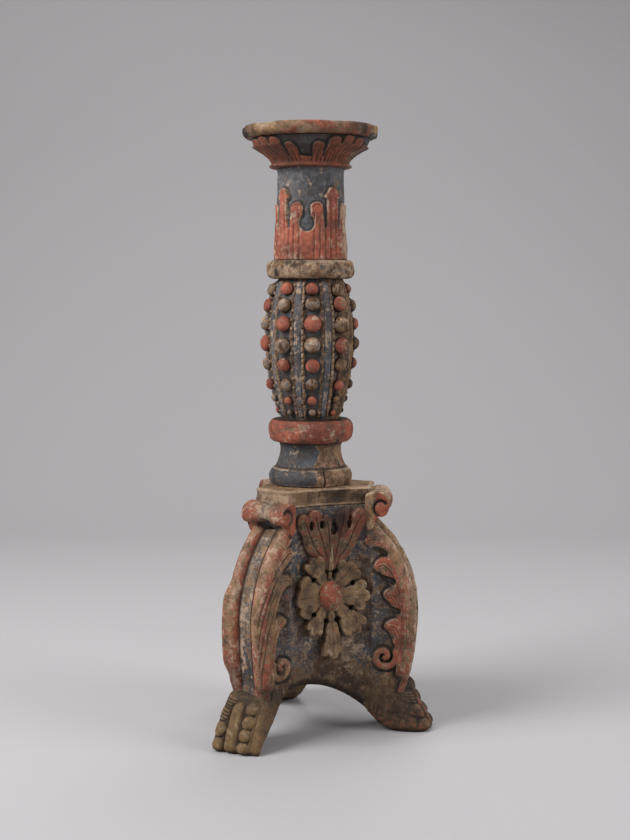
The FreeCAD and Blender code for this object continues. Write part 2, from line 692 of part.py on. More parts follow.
def make_core():
    """The hidden six-sided block that the stem, the consoles and the panels are fixed to."""
    body = new_body("base_core")
    sketch = sketch_on(body, "XY_Plane", "plan")
    points = []
    for name, degrees in sorted(LEGS, key=lambda leg: leg[1]):
        c = math.cos(math.radians(degrees))
        s = math.sin(math.radians(degrees))
        points.append((S["core_reach"] * c + console_half * s, S["core_reach"] * s - console_half * c))
        points.append((S["core_reach"] * c - console_half * s, S["core_reach"] * s + console_half * c))
    outline(sketch, points)
    pad(sketch, S["base_height"] - S["core_bottom"])
    tall = S["base_height"] - S["core_bottom"]
    bore(body, "mortise", mortise_radius, mortise_depth, z=tall - mortise_depth)
    start = S["core_reach"] - S["dowel_hold"] - S["tenon_end_gap"]
    back = FreeCAD.Vector(0, 1, 0)
    for label, level in dowel_levels.items():
        rise = level - S["core_bottom"]
        hole = bore(body, label, dowel_bore, S["dowel_hold"] * 2, ZERO, start, rise, back)
        ring_of(body, f"{label}_holes", [hole], len(LEGS), (origin(body, "Z_Axis"), [""]))
    place(body, z=S["core_bottom"])


def console_curves():
    """Radii of the console's two outside curves, below and above its belly."""
    low = swell(S["belly_reach"] - S["ankle_reach"], S["belly_height"] - S["foot_height"])
    high = swell(S["belly_reach"] - S["throat_reach"], throat_height - S["belly_height"])
    return low, high


def ribs(body):
    """Two round ribs that run up the outside curve from the ankle to the throat."""
    low, high = console_curves()
    sink = S["rib_radius"]
    across = console_half + S["flank_relief"] - S["rib_radius"]
    path = sketch_on(body, "XZ_Plane", "rib_path")
    path.setExpression("AttachmentOffset.Base.z", across.text)
    start = (S["ankle_reach"] - sink, S["foot_height"])
    belly = (S["belly_reach"] - sink, S["belly_height"])
    over = throat_height - S["belly_height"]
    end = (S["belly_reach"] - high + root((high - sink) * (high - sink) - over * over), throat_height)
    first = path.addGeometry(arc_between(start, belly, low, 1), False)
    second = path.addGeometry(arc_between(belly, end, high - sink, 1), False)
    bind(path, Sketcher.Constraint("Radius", first, low.value), low)
    bind(path, Sketcher.Constraint("Radius", second, (high - sink).value), high - sink)
    path.addConstraint(Sketcher.Constraint("Coincident", first, 2, second, 1))
    pin(path, first, 1, *start)
    pin(path, first, 2, *belly)
    pin(path, second, 2, *end)
    profile = sketch_on(body, "XY_Plane", "rib_round")
    profile.setExpression("AttachmentOffset.Base.z", S["foot_height"].text)
    circle(profile, start[0], -across, S["rib_radius"])
    rib = body.newObject("PartDesign::AdditivePipe", f"{body.Name}_rib")
    rib.Profile = profile
    rib.Spine = (path, ["Edge1", "Edge2"])
    body.Tip = rib
    pair = body.newObject("PartDesign::Mirrored", f"{body.Name}_ribs")
    pair.Originals = [rib]
    pair.MirrorPlane = (origin(body, "XZ_Plane"), [""])
    body.Tip = pair


def flank_lobes(body):
    """Four rounded leaf lobes along the inside of the flank band."""
    low, high = console_curves()
    centre = (S["belly_reach"] - high, S["belly_height"])
    sketch = sketch_on(body, "XZ_Plane", "lobe", centre)
    first = math.radians(LOBE_FIRST_DEGREES)
    reach = high - S["lobe_inset"]
    circle(sketch, reach * math.cos(first), reach * math.sin(first), S["lobe_radius"])
    lobe = pad(sketch, carved_width, both=True)
    ring_of(body, "lobes", [lobe], LOBES, (sketch, ["N_Axis"]), LOBE_SWEEP_DEGREES)


def flank_curl(body):
    """The spiral curl at the foot of the flank leaf, drawn from half circles of falling radius."""
    shift = (S["curl_reach"], S["curl_height"])
    sketch = sketch_on(body, "XZ_Plane", "curl", shift)
    radius = S["curl_radius"]
    step = S["curl_step"]
    wide = S["curl_width"]
    for number in range(3):
        middle = -step if number % 2 else ZERO
        half_circle(sketch, middle, radius - step * number, number % 2 == 0)
        half_circle(sketch, middle, radius - step * number - wide, number % 2 == 0)
    start = FreeCAD.Vector(radius.value - wide.value, 0, 0)
    mouth = sketch.addGeometry(Part.LineSegment(start, FreeCAD.Vector(radius.value, 0, 0)), False)
    pin(sketch, mouth, 1, radius - wide, ZERO)
    pin(sketch, mouth, 2, radius, ZERO)
    tip = -(radius - step * 2)
    start = FreeCAD.Vector(tip.value, 0, 0)
    close = sketch.addGeometry(Part.LineSegment(start, FreeCAD.Vector(tip.value + wide.value, 0, 0)), False)
    pin(sketch, close, 1, tip, ZERO)
    pin(sketch, close, 2, tip + wide, ZERO)
    pad(sketch, carved_width, both=True)


def make_console(side, degrees):
    """A C-scroll console: block, roll, hollow between two ribs, and the leaf carved on both flanks."""
    body = new_body(f"console_{side}")
    low, high = console_curves()
    crest = slab_top - S["roll_crest_drop"]
    bend = S["roll_reach"] - S["slab_reach"]
    roll_middle = S["roll_reach"] - S["roll_radius"]
    under = math.radians(215)
    depth = S["valley_depth"]
    over = throat_height - S["belly_height"]
    inner = root((high - depth) * (high - depth) - over * over)
    points = (
        (S["core_reach"], S["core_bottom"]),
        (S["heel_reach"], S["foot_height"]),
        (S["ankle_reach"] - depth, S["foot_height"]),
        (S["belly_reach"] - depth, S["belly_height"]),
        (S["belly_reach"] - high + inner, throat_height),
        (roll_middle + S["roll_radius"] * math.cos(under), roll_height + S["roll_radius"] * math.sin(under)),
        (S["roll_reach"], roll_height),
        (S["roll_reach"], crest - bend),
        (S["slab_reach"], crest),
        (S["slab_reach"], S["base_height"]),
        (S["core_reach"], S["base_height"]),
    )
    arcs = {2: (low, 1), 3: (high - depth, 1), 5: (S["roll_radius"], 1), 7: (bend, 1)}
    sketch = sketch_on(body, "XZ_Plane", "side")
    outline(sketch, points, arcs)
    pad(sketch, S["console_width"], both=True)
    ribs(body)
    flank_lobes(body)
    flank_curl(body)
    sketch = sketch_on(body, "XZ_Plane", "roll_ends")
    circle(sketch, roll_middle, roll_height, S["roll_radius"])
    pad(sketch, carved_width + S["roll_overhang"] * 2, both=True)
    out = FreeCAD.Vector(1, 0, 0)
    deep = S["dowel_hold"] + S["tenon_end_gap"]
    bore(body, "hole_low", dowel_bore, deep, S["core_reach"], ZERO, dowel_levels["dowel_low"], out)
    bore(body, "hole_high", dowel_bore, deep, S["core_reach"], ZERO, dowel_levels["dowel_high"], out)
    bore(body, "hole_foot", dowel_bore, deep, S["foot_dowel_reach"], ZERO, S["foot_height"])
    peg = S["peg_hold"] + S["tenon_end_gap"]
    bore(body, "hole_peg", dowel_bore, peg, S["peg_reach"], ZERO, S["base_height"] - peg)
    stand(body, degrees)


def make_paw(side, degrees):
    """A paw foot: a sloping block with three toes of four knuckles each."""
    body = new_body(f"paw_foot_{side}")
    heel = S["short_heel"] if side == "front_left" else S["sole_heel"]
    points = (
        (S["heel_reach"], S["foot_height"]),
        (heel, ZERO),
        (S["sole_toe"], ZERO),
        (S["sole_toe"], S["toe_edge_rise"]),
        (S["ankle_reach"], S["foot_height"]),
    )
    sketch = sketch_on(body, "XZ_Plane", "side")
    outline(sketch, points)
    pad(sketch, S["console_width"], both=True)
    toes = []
    last = len(TOE_SIZE_SHARES) - 1
    for number, size_share in enumerate(TOE_SIZE_SHARES):
        up_share = number / last
        reach = S["toe_low_reach"] + (S["toe_high_reach"] - S["toe_low_reach"]) * up_share
        rise = S["toe_low_height"] + (S["toe_high_height"] - S["toe_low_height"]) * up_share
        for column in (-1, 0, 1):
            name = f"knuckle_{number + 1}_{column + 2}"
            toes.append(ball(body, name, S["toe_radius"] * size_share, reach, S["toe_pitch"] * column, rise))
    deep = S["dowel_hold"] + S["tenon_end_gap"]
    bore(body, "hole_foot", dowel_bore, deep, S["foot_dowel_reach"], ZERO, S["foot_height"] - deep)
    stand(body, degrees)


def face_sizes():
    """Hollow face of a panel: half width and distance at its edges, and distance at its middle."""
    edge = S["panel_edge_reach"] * sixty_cos + console_half * sixty_sin
    half = S["panel_edge_reach"] * sixty_sin - console_half * sixty_cos
    hollow = S["face_hollow"]
    middle = edge - hollow + root(hollow * hollow - half * half)
    return edge, half, middle


def arch_sizes(side):
    """Feet and crown of the arch under a face, and how far the crown sits left of the middle."""
    if side == "front":
        return S["arch_left_spring"], S["arch_right_spring"], S["arch_peak"], S["arch_peak_shift"]
    return S["arch_spring"], S["arch_spring"], S["arch_crown"], ZERO


def make_panel(side, degrees):
    """A wedge panel between two consoles, hollow outside, arched below, with a flat rosette seat."""
    body = new_body(f"face_panel_{side}")
    edge, half, middle = face_sizes()
    back = S["core_reach"] * sixty_cos + console_half * sixty_sin
    back_half = S["core_reach"] * sixty_sin - console_half * sixty_cos
    sketch = sketch_on(body, "XY_Plane", "plan")
    points = ((back, -back_half), (edge, -half), (edge, half), (back, back_half))
    outline(sketch, points, {1: (S["face_hollow"], -1)})
    pad(sketch, S["base_height"])
    sketch = sketch_on(body, "YZ_Plane", "arch")
    left, right, peak, shift = arch_sizes(side)
    points = (
        (-half, ZERO - right),
        (half, ZERO - right),
        (half, right),
        (ZERO - shift, peak),
        (-half, left),
    )
    outline(sketch, points, {2: (swell(peak - right, half + shift), 1), 3: (swell(peak - left, half - shift), 1)})
    pocket(sketch, edge * 3)
    out = FreeCAD.Vector(1, 0, 0)
    seat = middle - S["seat_sink"]
    wide = S["rosette_radius"] + S["fit_clearance"] * 2
    bore(body, "seat", wide, S["rosette_depth"] * 3, seat, ZERO, rosette_height, out)
    spigot = S["spigot_hold"] + S["tenon_end_gap"]
    hole = S["spigot_radius"] + S["fit_clearance"]
    bore(body, "spigot_hole", hole, spigot * 2, seat - spigot, ZERO, rosette_height, out)
    stand(body, degrees)


def face_out(body, degrees, reach):
    """Lays a piece built flat onto a face: its own up points out of that face, its own +Y stays up."""
    c = math.cos(math.radians(degrees))
    s = math.sin(math.radians(degrees))
    across = FreeCAD.Vector(-s, c, 0)
    spin = FreeCAD.Rotation(across, FreeCAD.Vector(0, 0, 1), FreeCAD.Vector(c, s, 0), "ZXY")
    body.Placement = FreeCAD.Placement(FreeCAD.Vector(), spin)
    place(body, reach * c, reach * s, rosette_height)


def make_rosette(side, degrees):
    """A rosette: a thin disc with seven domed petals; the upright leaf takes the eighth place."""
    body = new_body(f"rosette_{side}")
    hole = S["spigot_radius"] + S["fit_clearance"]
    points = (
        (hole, ZERO),
        (S["rosette_disc"], ZERO),
        (S["rosette_disc"], S["rosette_cup"]),
        (hole, S["rosette_cup"]),
    )
    turn(body, "disc", points)
    sketch = sketch_on(body, "XY_Plane", "petal")
    wide = S["rosette_radius"] * PETAL_HALF_SHARE
    long = S["rosette_radius"]
    right = [(wide * x_share, long * y_share) for x_share, y_share in PETAL_SHARES]
    left = [(-x, y) for x, y in reversed(right)]
    tip = swell(long - right[-1][1], right[-1][0])
    outline(sketch, right + left, {len(right) - 1: (tip, 1)})
    first = pad(sketch, S["rosette_depth"])
    sketch.AttachmentOffset = FreeCAD.Placement(FreeCAD.Vector(), FreeCAD.Rotation(FreeCAD.Vector(0, 0, 1), 45))
    around = (origin(body, "Z_Axis"), [""])
    ring_of(body, "petals", [first], PETALS - 1, around, 270)
    points = (
        (hole, S["rosette_cup"]),
        (S["rosette_disc"], S["rosette_depth"]),
        (S["rosette_radius"] * 2, S["rosette_rim"] - S["rosette_depth"]),
        (S["rosette_radius"] * 2, S["rosette_depth"] * 2),
        (hole, S["rosette_depth"] * 2),
    )
    turn(body, "trim", points, cut=True)
    reach = S["rosette_radius"] * EYE_REACH_SHARE * math.cos(math.radians(45))
    deep = S["rosette_depth"]
    eye = bore(body, "eye", S["petal_eye"], deep, -reach, reach, S["rosette_cup"])
    ring_of(body, "eyes", [eye], PETALS - 1, around, 270)
    edge, half, middle = face_sizes()
    face_out(body, degrees, middle - S["seat_sink"])


def make_boss(side, degrees):
    """The button that pins a rosette, with its spigot."""
    body = new_body(f"rosette_boss_{side}")
    depth = S["rosette_cup"] + S["spigot_hold"]
    points = (
        (ZERO, -depth),
        (S["spigot_radius"], -depth),
        (S["spigot_radius"], ZERO),
        (S["boss_radius"], ZERO),
        (ZERO, S["boss_height"]),
    )
    turn(body, "button", points, {3: (swell(S["boss_height"], S["boss_radius"]), 1)})
    edge, half, middle = face_sizes()
    face_out(body, degrees, middle - S["seat_sink"] + S["rosette_cup"])


def make_leaf(side, degrees):
    """The upright leaf over a rosette: a curved plate cut to five round lobes."""
    body = new_body(f"upright_leaf_{side}")
    edge, face_half, middle = face_sizes()
    hollow = S["face_hollow"]
    thin = hollow - S["leaf_thickness"]
    half = S["leaf_width"] / 2
    centre = middle + hollow
    near = centre - root(hollow * hollow - half * half)
    far = centre - root(thin * thin - half * half)
    sketch = sketch_on(body, "XY_Plane", "plate")
    points = ((near, -half), (far, -half), (far, half), (near, half))
    outline(sketch, points, {1: (thin, -1), 3: (hollow, 1)})
    pad(sketch, S["leaf_rise"] * 2)
    sketch = sketch_on(body, "YZ_Plane", "lobes")
    rise = S["leaf_rise"]
    foot = half * UPRIGHT_FOOT_SHARES[0]
    points = [(-foot, ZERO), (foot, ZERO), (foot, rise * UPRIGHT_FOOT_SHARES[1])]
    arcs = {}
    outer, middle_lobe = UPRIGHT_SIDE_SHARES, UPRIGHT_MID_SHARES
    notch, step, tall = UPRIGHT_NOTCH_SHARES, UPRIGHT_STEP_SHARES, UPRIGHT_TALL_SHARES
    low, low_tip = rise * outer[2], rise * outer[3]
    high, high_tip = rise * middle_lobe[2], rise * middle_lobe[3]
    lobe_tip(points, arcs, half * outer[0], half * outer[1], low, low_tip)
    points.append((half * step[0], rise * step[1]))
    lobe_tip(points, arcs, half * middle_lobe[0], half * middle_lobe[1], high, high_tip)
    points.append((half * notch[0], rise * notch[1]))
    lobe_tip(points, arcs, half * -tall[0], half * tall[0], rise * tall[1], rise * tall[2])
    points.append((half * -notch[0], rise * notch[1]))
    lobe_tip(points, arcs, half * -middle_lobe[1], half * -middle_lobe[0], high, high_tip)
    points.append((half * -step[0], rise * step[1]))
    lobe_tip(points, arcs, half * -outer[1], half * -outer[0], low, low_tip)
    points.append((-foot, rise * UPRIGHT_FOOT_SHARES[1]))
    outline(sketch, points, arcs)
    wide = S["leaf_width"]
    outline(sketch, ((-wide, -rise), (wide, -rise), (wide, rise * 3), (-wide, rise * 3)))
    pocket(sketch, centre * 2)
    stand(body, degrees)
    place(body, z=leaf_foot)


def peg_shape(radius, length, start, along):
    """One plain round peg."""
    return Part.makeCylinder(radius.value, length.value, start, along)


def loose_group(name, shapes):
    """Fasteners of one kind that share a node."""
    group = doc.addObject("Part::Feature", name)
    group.Label = name
    group.Shape = Part.makeCompound(shapes)


def make_fasteners():
    """Hidden dowels and pegs of the base, and the nails that hold the pan on its cup."""
    consoles = []
    feet = []
    pegs = []
    up = FreeCAD.Vector(0, 0, 1)
    length = S["dowel_hold"] * 2
    for side, degrees in LEGS:
        out = FreeCAD.Vector(math.cos(math.radians(degrees)), math.sin(math.radians(degrees)), 0)
        for level in dowel_levels.values():
            start = out * (S["core_reach"] - S["dowel_hold"]).value + up * level.value
            consoles.append(peg_shape(S["dowel_radius"], length, start, out))
        start = out * S["foot_dowel_reach"].value + up * (S["foot_height"] - S["dowel_hold"]).value
        feet.append(peg_shape(S["dowel_radius"], length, start, up))
        start = out * S["peg_reach"].value + up * (S["base_height"] - S["peg_hold"]).value
        pegs.append(peg_shape(S["dowel_radius"], S["peg_hold"] * 2, start, up))
    loose_group("console_dowels", consoles)
    loose_group("foot_dowels", feet)
    loose_group("slab_pegs", pegs)
    nails = []
    dish = (pan_z + S["pan_thickness"] - S["dish_depth"]).value
    for number in range(LEAVES):
        angle = math.radians(360 / LEAVES * number + LEAF_TURN_DEGREES)
        spot = FreeCAD.Vector(math.cos(angle), math.sin(angle), 0) * S["nail_circle"].value + up * dish
        shank = Part.makeCylinder(S["nail_radius"].value, S["nail_length"].value, spot, -up)
        head = Part.makeCylinder(S["nail_head_radius"].value, S["nail_head_height"].value, spot, up)
        nails.append(shank.fuse(head).removeSplitter())
    loose_group("pan_nails", nails)


def bore_nails():
    """Holes in the cup for the pan's nails."""
    body = doc.getObject("pan_calyx")
    deep = S["nail_length"]
    under = S["pan_thickness"] - S["dish_depth"]
    start = S["calyx_height"] + under - deep
    hole = bore(body, "nail_hole", S["nail_radius"] + S["fit_clearance"], deep, S["nail_circle"], ZERO, start)
    ring_of(body, "nail_holes", [hole], LEAVES, (origin(body, "Z_Axis"), [""]))


make_stem_foot()
make_ring("lower_ring", S["lower_ring_radius"], S["lower_ring_height"], ring_low_z)
make_bulb()
make_ring("upper_ring", S["upper_ring_radius"], S["upper_ring_height"], ring_high_z)
make_neck()
make_calyx()
bore_nails()
make_pan()
make_pricket()
make_slab()
make_core()
for side, degrees in LEGS:
    make_console(side, degrees)
    make_paw(side, degrees)
for side, degrees in FACES:
    make_panel(side, degrees)
    make_rosette(side, degrees)
    make_boss(side, degrees)
    make_leaf(side, degrees)
make_fasteners()
doc.recompute()

pieces = [thing for thing in doc.Objects if thing.TypeId == "PartDesign::Body"]
pieces += [thing for thing in doc.Objects if thing.TypeId == "Part::Feature"]
for thing in doc.Objects:
    if "Invalid" in thing.State or "Error" in thing.State:
        raise RuntimeError(f"{thing.Name} did not build")
os.makedirs("parts", exist_ok=True)
for piece in pieces:
    if piece.Shape.isNull() or not piece.Shape.isValid():
        raise RuntimeError(f"{piece.Label} is not a sound solid")
    piece.Shape.exportStep(f"parts/{piece.Label}.step")
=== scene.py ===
import logging
import math
from dataclasses import dataclass, replace
from enum import Enum, IntEnum
from functools import reduce

import bpy
import numpy as np
from mathutils import Matrix, Vector


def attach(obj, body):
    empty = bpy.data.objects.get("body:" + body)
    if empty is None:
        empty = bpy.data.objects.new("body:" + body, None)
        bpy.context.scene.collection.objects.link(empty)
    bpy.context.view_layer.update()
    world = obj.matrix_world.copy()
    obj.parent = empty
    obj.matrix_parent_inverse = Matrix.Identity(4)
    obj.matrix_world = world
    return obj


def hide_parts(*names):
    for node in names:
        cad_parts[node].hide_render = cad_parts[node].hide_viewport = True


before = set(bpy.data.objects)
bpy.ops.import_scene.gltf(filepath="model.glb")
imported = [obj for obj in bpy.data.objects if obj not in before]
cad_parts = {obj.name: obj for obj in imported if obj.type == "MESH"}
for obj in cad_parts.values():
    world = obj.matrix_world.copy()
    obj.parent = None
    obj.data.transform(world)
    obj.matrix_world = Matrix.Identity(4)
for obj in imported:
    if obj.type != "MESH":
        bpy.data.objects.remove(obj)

log = logging.getLogger("candlestick")

Array = np.ndarray
Colour = tuple[float, float, float]
MM = 0.001
ROOT = "root"
# Direction of the viewer seen from above, in degrees counter-clockwise from +X.
VIEWER = 247.5
# Paint layers of every mesh; the darkening one holds real dirt and painted shade together.
LAYERS = ("red", "blue", "ochre", "gesso", "tone", "grime_and_shade", "worm")
LEGS = {"front_left": 210.0, "front_right": 330.0, "back": 90.0}
FACES = {"front": 270.0, "right": 30.0, "left": 150.0}
# The leg that stands on the short, steep paw.
SHORT_LEG = "front_left"
# Radius of the hole left round the axis of a turned grid, which its caps close.
CORE = 2.0
# Degrees in a radian, for arcs.
RADIAN = 57.3
# A distance that is farther than anything.
FAR = 1e6
# Keeps divisors off zero.
TINY = 1e-9
# Factors that scatter the numbers of a lattice corner, in words of 32 bits.
SCATTER = (374761393, 668265263, 2246822519, 3266489917)
WORD = 0xFFFFFFFF
# Sockets of Blender's Mix node for colours: both colours, and the result.
MIX_INPUTS = (6, 7)
MIX_RESULT = 2


class Slot(Enum):
    """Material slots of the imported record."""

    BARE = "bare_wood"
    RED_BLUE = "red_and_blue_paint"
    BLUE = "blue_paint"
    RED = "red_paint"
    OCHRE = "ochre_wood"
    HIDDEN = "hidden_wood"
    IRON = "wrought_iron"


class Zone(IntEnum):
    """Parts of a console's section, from its middle outwards and in along the flank."""

    VALLEY = 0
    RIB = 1
    FLANK = 2


# Strands of the leaf on a console's flank, from the foot to each lobe tip: reach, height and half width.
FOUR_LOBES = (
    (
        (141, 88, 3), (146, 125, 4), (148, 165, 4.5), (145, 205, 5), (139, 240, 6),
        (131, 264, 9), (119, 283, 12), (106, 292, 12.5), (96, 292, 10.5), (90, 289, 7),
    ),
    (
        (139, 88, 3), (143, 120, 4), (144, 155, 4.5), (142, 190, 5.5),
        (136, 219, 9), (126, 242, 13), (115, 254, 13), (106, 252, 8),
    ),
    (
        (137, 88, 3), (140, 118, 4), (141, 145, 5), (141, 170, 7),
        (138, 192, 11), (131, 207, 13.5), (122, 210, 9),
    ),
    ((135, 89, 3), (137, 110, 5), (139, 129, 8.5), (138, 146, 12), (132, 160, 13), (123, 162, 8.5)),
)
# Cuts between the lobes: both ends, each with its reach and height.
FOUR_PITS = (((99, 280), (115, 272)), ((110, 237), (127, 229)), ((116, 192), (133, 184)))
PIT_RADII = (3.0, 5.0)
THREE_LOBES = (
    (
        (141, 88, 3), (147, 130, 5), (147, 175, 6), (142, 215, 7),
        (131, 245, 9), (116, 268, 11), (102, 281, 10.5), (95, 281, 6),
    ),
    (
        (138, 88, 3.5), (142, 125, 5), (142, 165, 6.5), (136, 200, 9),
        (124, 228, 11.5), (110, 242, 10.5), (99, 241, 6),
    ),
    ((135, 89, 3.5), (138, 115, 5.5), (138, 142, 8), (132, 167, 11), (121, 183, 11), (110, 183, 6)),
)
# Lobes of the upright leaf: across, height and half width.
FAN_LOBES = (
    ((-8, 263, 9), (-25, 286, 13), (-35, 309, 12.5), (-43, 326, 11.5)),
    ((-3, 258, 9), (-12, 292, 12), (-20, 316, 11.5), (-24, 331, 11)),
    ((0, 258, 8), (-1, 290, 11), (-3, 310, 9), (-6, 324, 9)),
    ((4, 258, 9), (12, 289, 12), (18, 314, 10.5), (20, 331, 10.5)),
    ((9, 263, 9), (26, 286, 13), (38, 311, 12.5), (47, 330, 11.5)),
)
# Side outlines of the scroll rolls: reach and height.
SHORT_ROLL = (
    (90.0, 353.0), (96.0, 353.0), (102.0, 352.0), (108.0, 349.5), (113.0, 345.5), (116.0, 340.0),
    (116.5, 333.5), (114.0, 327.0), (109.0, 322.5), (103.5, 321.5), (100.5, 323.0), (98.5, 317.0),
    (97.0, 309.0), (91.0, 304.0), (86.0, 316.0), (86.0, 340.0), (87.0, 350.0),
)
TALL_ROLL = (
    (91.0, 362.0), (98.0, 364.5), (106.0, 364.5), (113.5, 361.0), (119.0, 354.0), (121.8, 345.0),
    (120.5, 335.5), (116.0, 329.0), (109.5, 326.5), (103.5, 328.0), (100.0, 322.0), (99.0, 312.0),
    (92.0, 306.0), (86.0, 318.0), (86.0, 345.0), (87.0, 359.0),
)


# Small number tools. The last number of every noise call is its seed.


def ease(low: float | Array, high: float | Array, value: Array) -> Array:
    """Smooth step from 0 at low to 1 at high.

    Args:
        low: Value where the step starts.
        high: Value where it ends.
        value: Values to step.

    Returns:
        The stepped values.
    """
    share = np.clip((value - low) / (high - low), 0.0, 1.0)
    return share * share * (3.0 - 2.0 * share)


def hump(value: Array, centre: float | Array, width: float | Array) -> Array:
    """Bell of height 1 about a centre."""
    return np.exp(-(((value - centre) / width) ** 2))


def dome(value: Array) -> Array:
    """Round profile: 1 at zero, 0 from one outwards."""
    return np.sqrt(np.clip(1.0 - value * value, 0.0, None))


def turn_from(degrees: float | Array, centre: float | Array) -> float | Array:
    """Signed angle from a direction, between -180 and 180 degrees."""
    return (degrees - centre + 180.0) % 360.0 - 180.0


def most(*values: Array) -> Array:
    """Largest of several values, place by place."""
    return reduce(np.maximum, values)


def least(*values: Array) -> Array:
    """Smallest of several values, place by place."""
    return reduce(np.minimum, values)


def band(value: Array, start: float, full: float, fade: float, end: float) -> Array:
    """1 from full to fade, with smooth steps down to 0 at start and at end."""
    return ease(start, full, value) * ease(end, fade, value)


def repeat_from(degrees: Array, centre: float, count: int) -> Array:
    """Signed angle from the nearest of several even directions."""
    pitch = 360.0 / count
    return (turn_from(degrees, centre) + pitch / 2.0) % pitch - pitch / 2.0


def lattice(cell: list[Array], seed: int) -> Array:
    """Repeatable random value of a lattice corner, between -1 and 1.

    Args:
        cell: Numbers of the corner along three axes.
        seed: Which field.

    Returns:
        One value per corner.
    """
    mixed = sum(number * factor for number, factor in zip((seed, *cell), SCATTER))
    mixed = (mixed & WORD).astype(np.uint64)
    for shift, factor in ((15, SCATTER[2]), (13, SCATTER[3])):
        mixed = ((mixed ^ (mixed >> np.uint64(shift))) * np.uint64(factor)) & np.uint64(WORD)
    mixed = mixed ^ (mixed >> np.uint64(16))
    return mixed.astype(float) / (WORD / 2.0) - 1.0


def noise(points: Array, size: float | tuple, octaves: int, seed: int) -> Array:
    """Smooth random field, roughly between -1 and 1.

    Args:
        points: Places, with three numbers on the last axis, in millimetres.
        size: Size of the largest lumps, one number or one per axis.
        octaves: How many times finer lumps are added.
        seed: Which field.

    Returns:
        One value per place.
    """
    total = np.zeros(points.shape[:-1])
    height = 1.0
    scaled = points / np.asarray(size, float)
    for octave in range(octaves):
        floor = np.floor(scaled).astype(np.int64)
        part = scaled - floor
        part = part * part * (3.0 - 2.0 * part)
        value = np.zeros(points.shape[:-1])
        for corner in range(8):
            step = [(corner >> axis) & 1 for axis in range(3)]
            cell = [floor[..., axis] + step[axis] for axis in range(3)]
            weight = np.ones(points.shape[:-1])
            for axis in range(3):
                weight = weight * (part[..., axis] if step[axis] else 1.0 - part[..., axis])
            value += weight * lattice(cell, seed + octave * 17)
        total += value * height
        # The next octave is half as high, finer and shifted.
        height *= 0.5
        scaled = scaled * 2.03 + 7.7
    return total


def capsule(x: Array, z: Array, start: tuple, end: tuple, first: float, last: float) -> Array:
    """Distance outside a round-ended bar whose radius runs from first to last.

    Args:
        x: Places across.
        z: Places up.
        start: One end of the bar.
        end: Its other end.
        first: Radius at the start.
        last: Radius at the end.

    Returns:
        Distance of each place, below zero inside.
    """
    run = (end[0] - start[0], end[1] - start[1])
    length = max(run[0] ** 2 + run[1] ** 2, TINY)
    share = np.clip(((x - start[0]) * run[0] + (z - start[1]) * run[1]) / length, 0.0, 1.0)
    gap = np.hypot(x - start[0] - share * run[0], z - start[1] - share * run[1])
    return gap - (first + (last - first) * share)


def ribbon(x: Array, z: Array, path: list[tuple]) -> Array:
    """Distance outside a bent ribbon given by points (x, z, half width).

    Args:
        x: Places across.
        z: Places up.
        path: Points with their half widths.

    Returns:
        Distance of each place, below zero inside.
    """
    gap = np.full(np.shape(x), FAR)
    for a, b in zip(path[:-1], path[1:]):
        gap = np.minimum(gap, capsule(x, z, a[:2], b[:2], a[2], b[2]))
    return gap


def curl(centre: tuple, reach: float, tight: float, start: float, turns: float, wide: tuple) -> list[tuple]:
    """Points of a spiral ribbon that tightens as it turns clockwise.

    Args:
        centre: Eye of the spiral.
        reach: Radius where it starts.
        tight: Radius where it ends.
        start: Angle where it starts, in degrees.
        turns: How many turns.
        wide: Half widths at both ends.

    Returns:
        Points (x, z, half width).
    """
    points = []
    for share in np.linspace(0.0, 1.0, 37):
        angle = math.radians(start - 360.0 * turns * share)
        radius = reach + (tight - reach) * share
        half = wide[0] + (wide[1] - wide[0]) * share
        points.append((centre[0] + radius * math.cos(angle), centre[1] + radius * math.sin(angle), half))
    return points


def weave(a: Array, b: Array, c: Array, d: Array, share: float) -> Array:
    """Point of the smooth curve between b and c, whose neighbours are a and d."""
    bend = (2 * a - 5 * b + 4 * c - d) * share**2 + (3 * b - a - 3 * c + d) * share**3
    return 0.5 * (2 * b + (c - a) * share + bend)


def walk(line: Array, count: int, closed: bool = False) -> Array:
    """Evenly spaced points along a line of points; a closed line ends where it starts.

    Args:
        line: Points of two numbers each.
        count: How many points to make.
        closed: True where the last point is the first again.

    Returns:
        The new points.
    """
    along = np.concatenate([[0.0], np.cumsum(np.hypot(*np.diff(line, axis=0).T))])
    where = np.linspace(0.0, along[-1], count, endpoint=not closed)
    return np.stack([np.interp(where, along, line[:, axis]) for axis in range(2)], axis=-1)


def trail(points: tuple, count: int = 24) -> list[tuple]:
    """Evenly stepped points (x, z, half width) along an open smooth path.

    Args:
        points: Points to pass through.
        count: How many points to make.

    Returns:
        The new points.
    """
    line = np.asarray(points, float)
    line = np.concatenate([2 * line[:1] - line[1:2], line, 2 * line[-1:] - line[-2:-1]])
    steps = np.linspace(0.0, len(points) - 1.000001, count)
    return [tuple(weave(*line[int(step) : int(step) + 4], step - int(step))) for step in steps]


def curve_through(points: tuple, count: int, fine: int = 12) -> Array:
    """Evenly spaced points along a closed smooth curve through the given ones.

    Args:
        points: Points to pass through.
        count: How many points to make.
        fine: Steps from one to the next.

    Returns:
        The new points.
    """
    ring = np.asarray(points, float)
    shares = np.linspace(0.0, 1.0, fine, endpoint=False)
    line = []
    for number in range(len(ring)):
        four = [ring[(number + shift) % len(ring)] for shift in (-1, 0, 1, 2)]
        line += [weave(*four, share) for share in shares]
    return walk(np.asarray(line + line[:1]), count, closed=True)


# Meshes.


def show(name: str, data: bpy.types.ID) -> bpy.types.Object:
    """Adds an object to the scene.

    Args:
        name: Name of the object.
        data: Its mesh, lamp or camera.

    Returns:
        The object.
    """
    made = bpy.data.objects.new(name, data)
    bpy.context.scene.collection.objects.link(made)
    return made


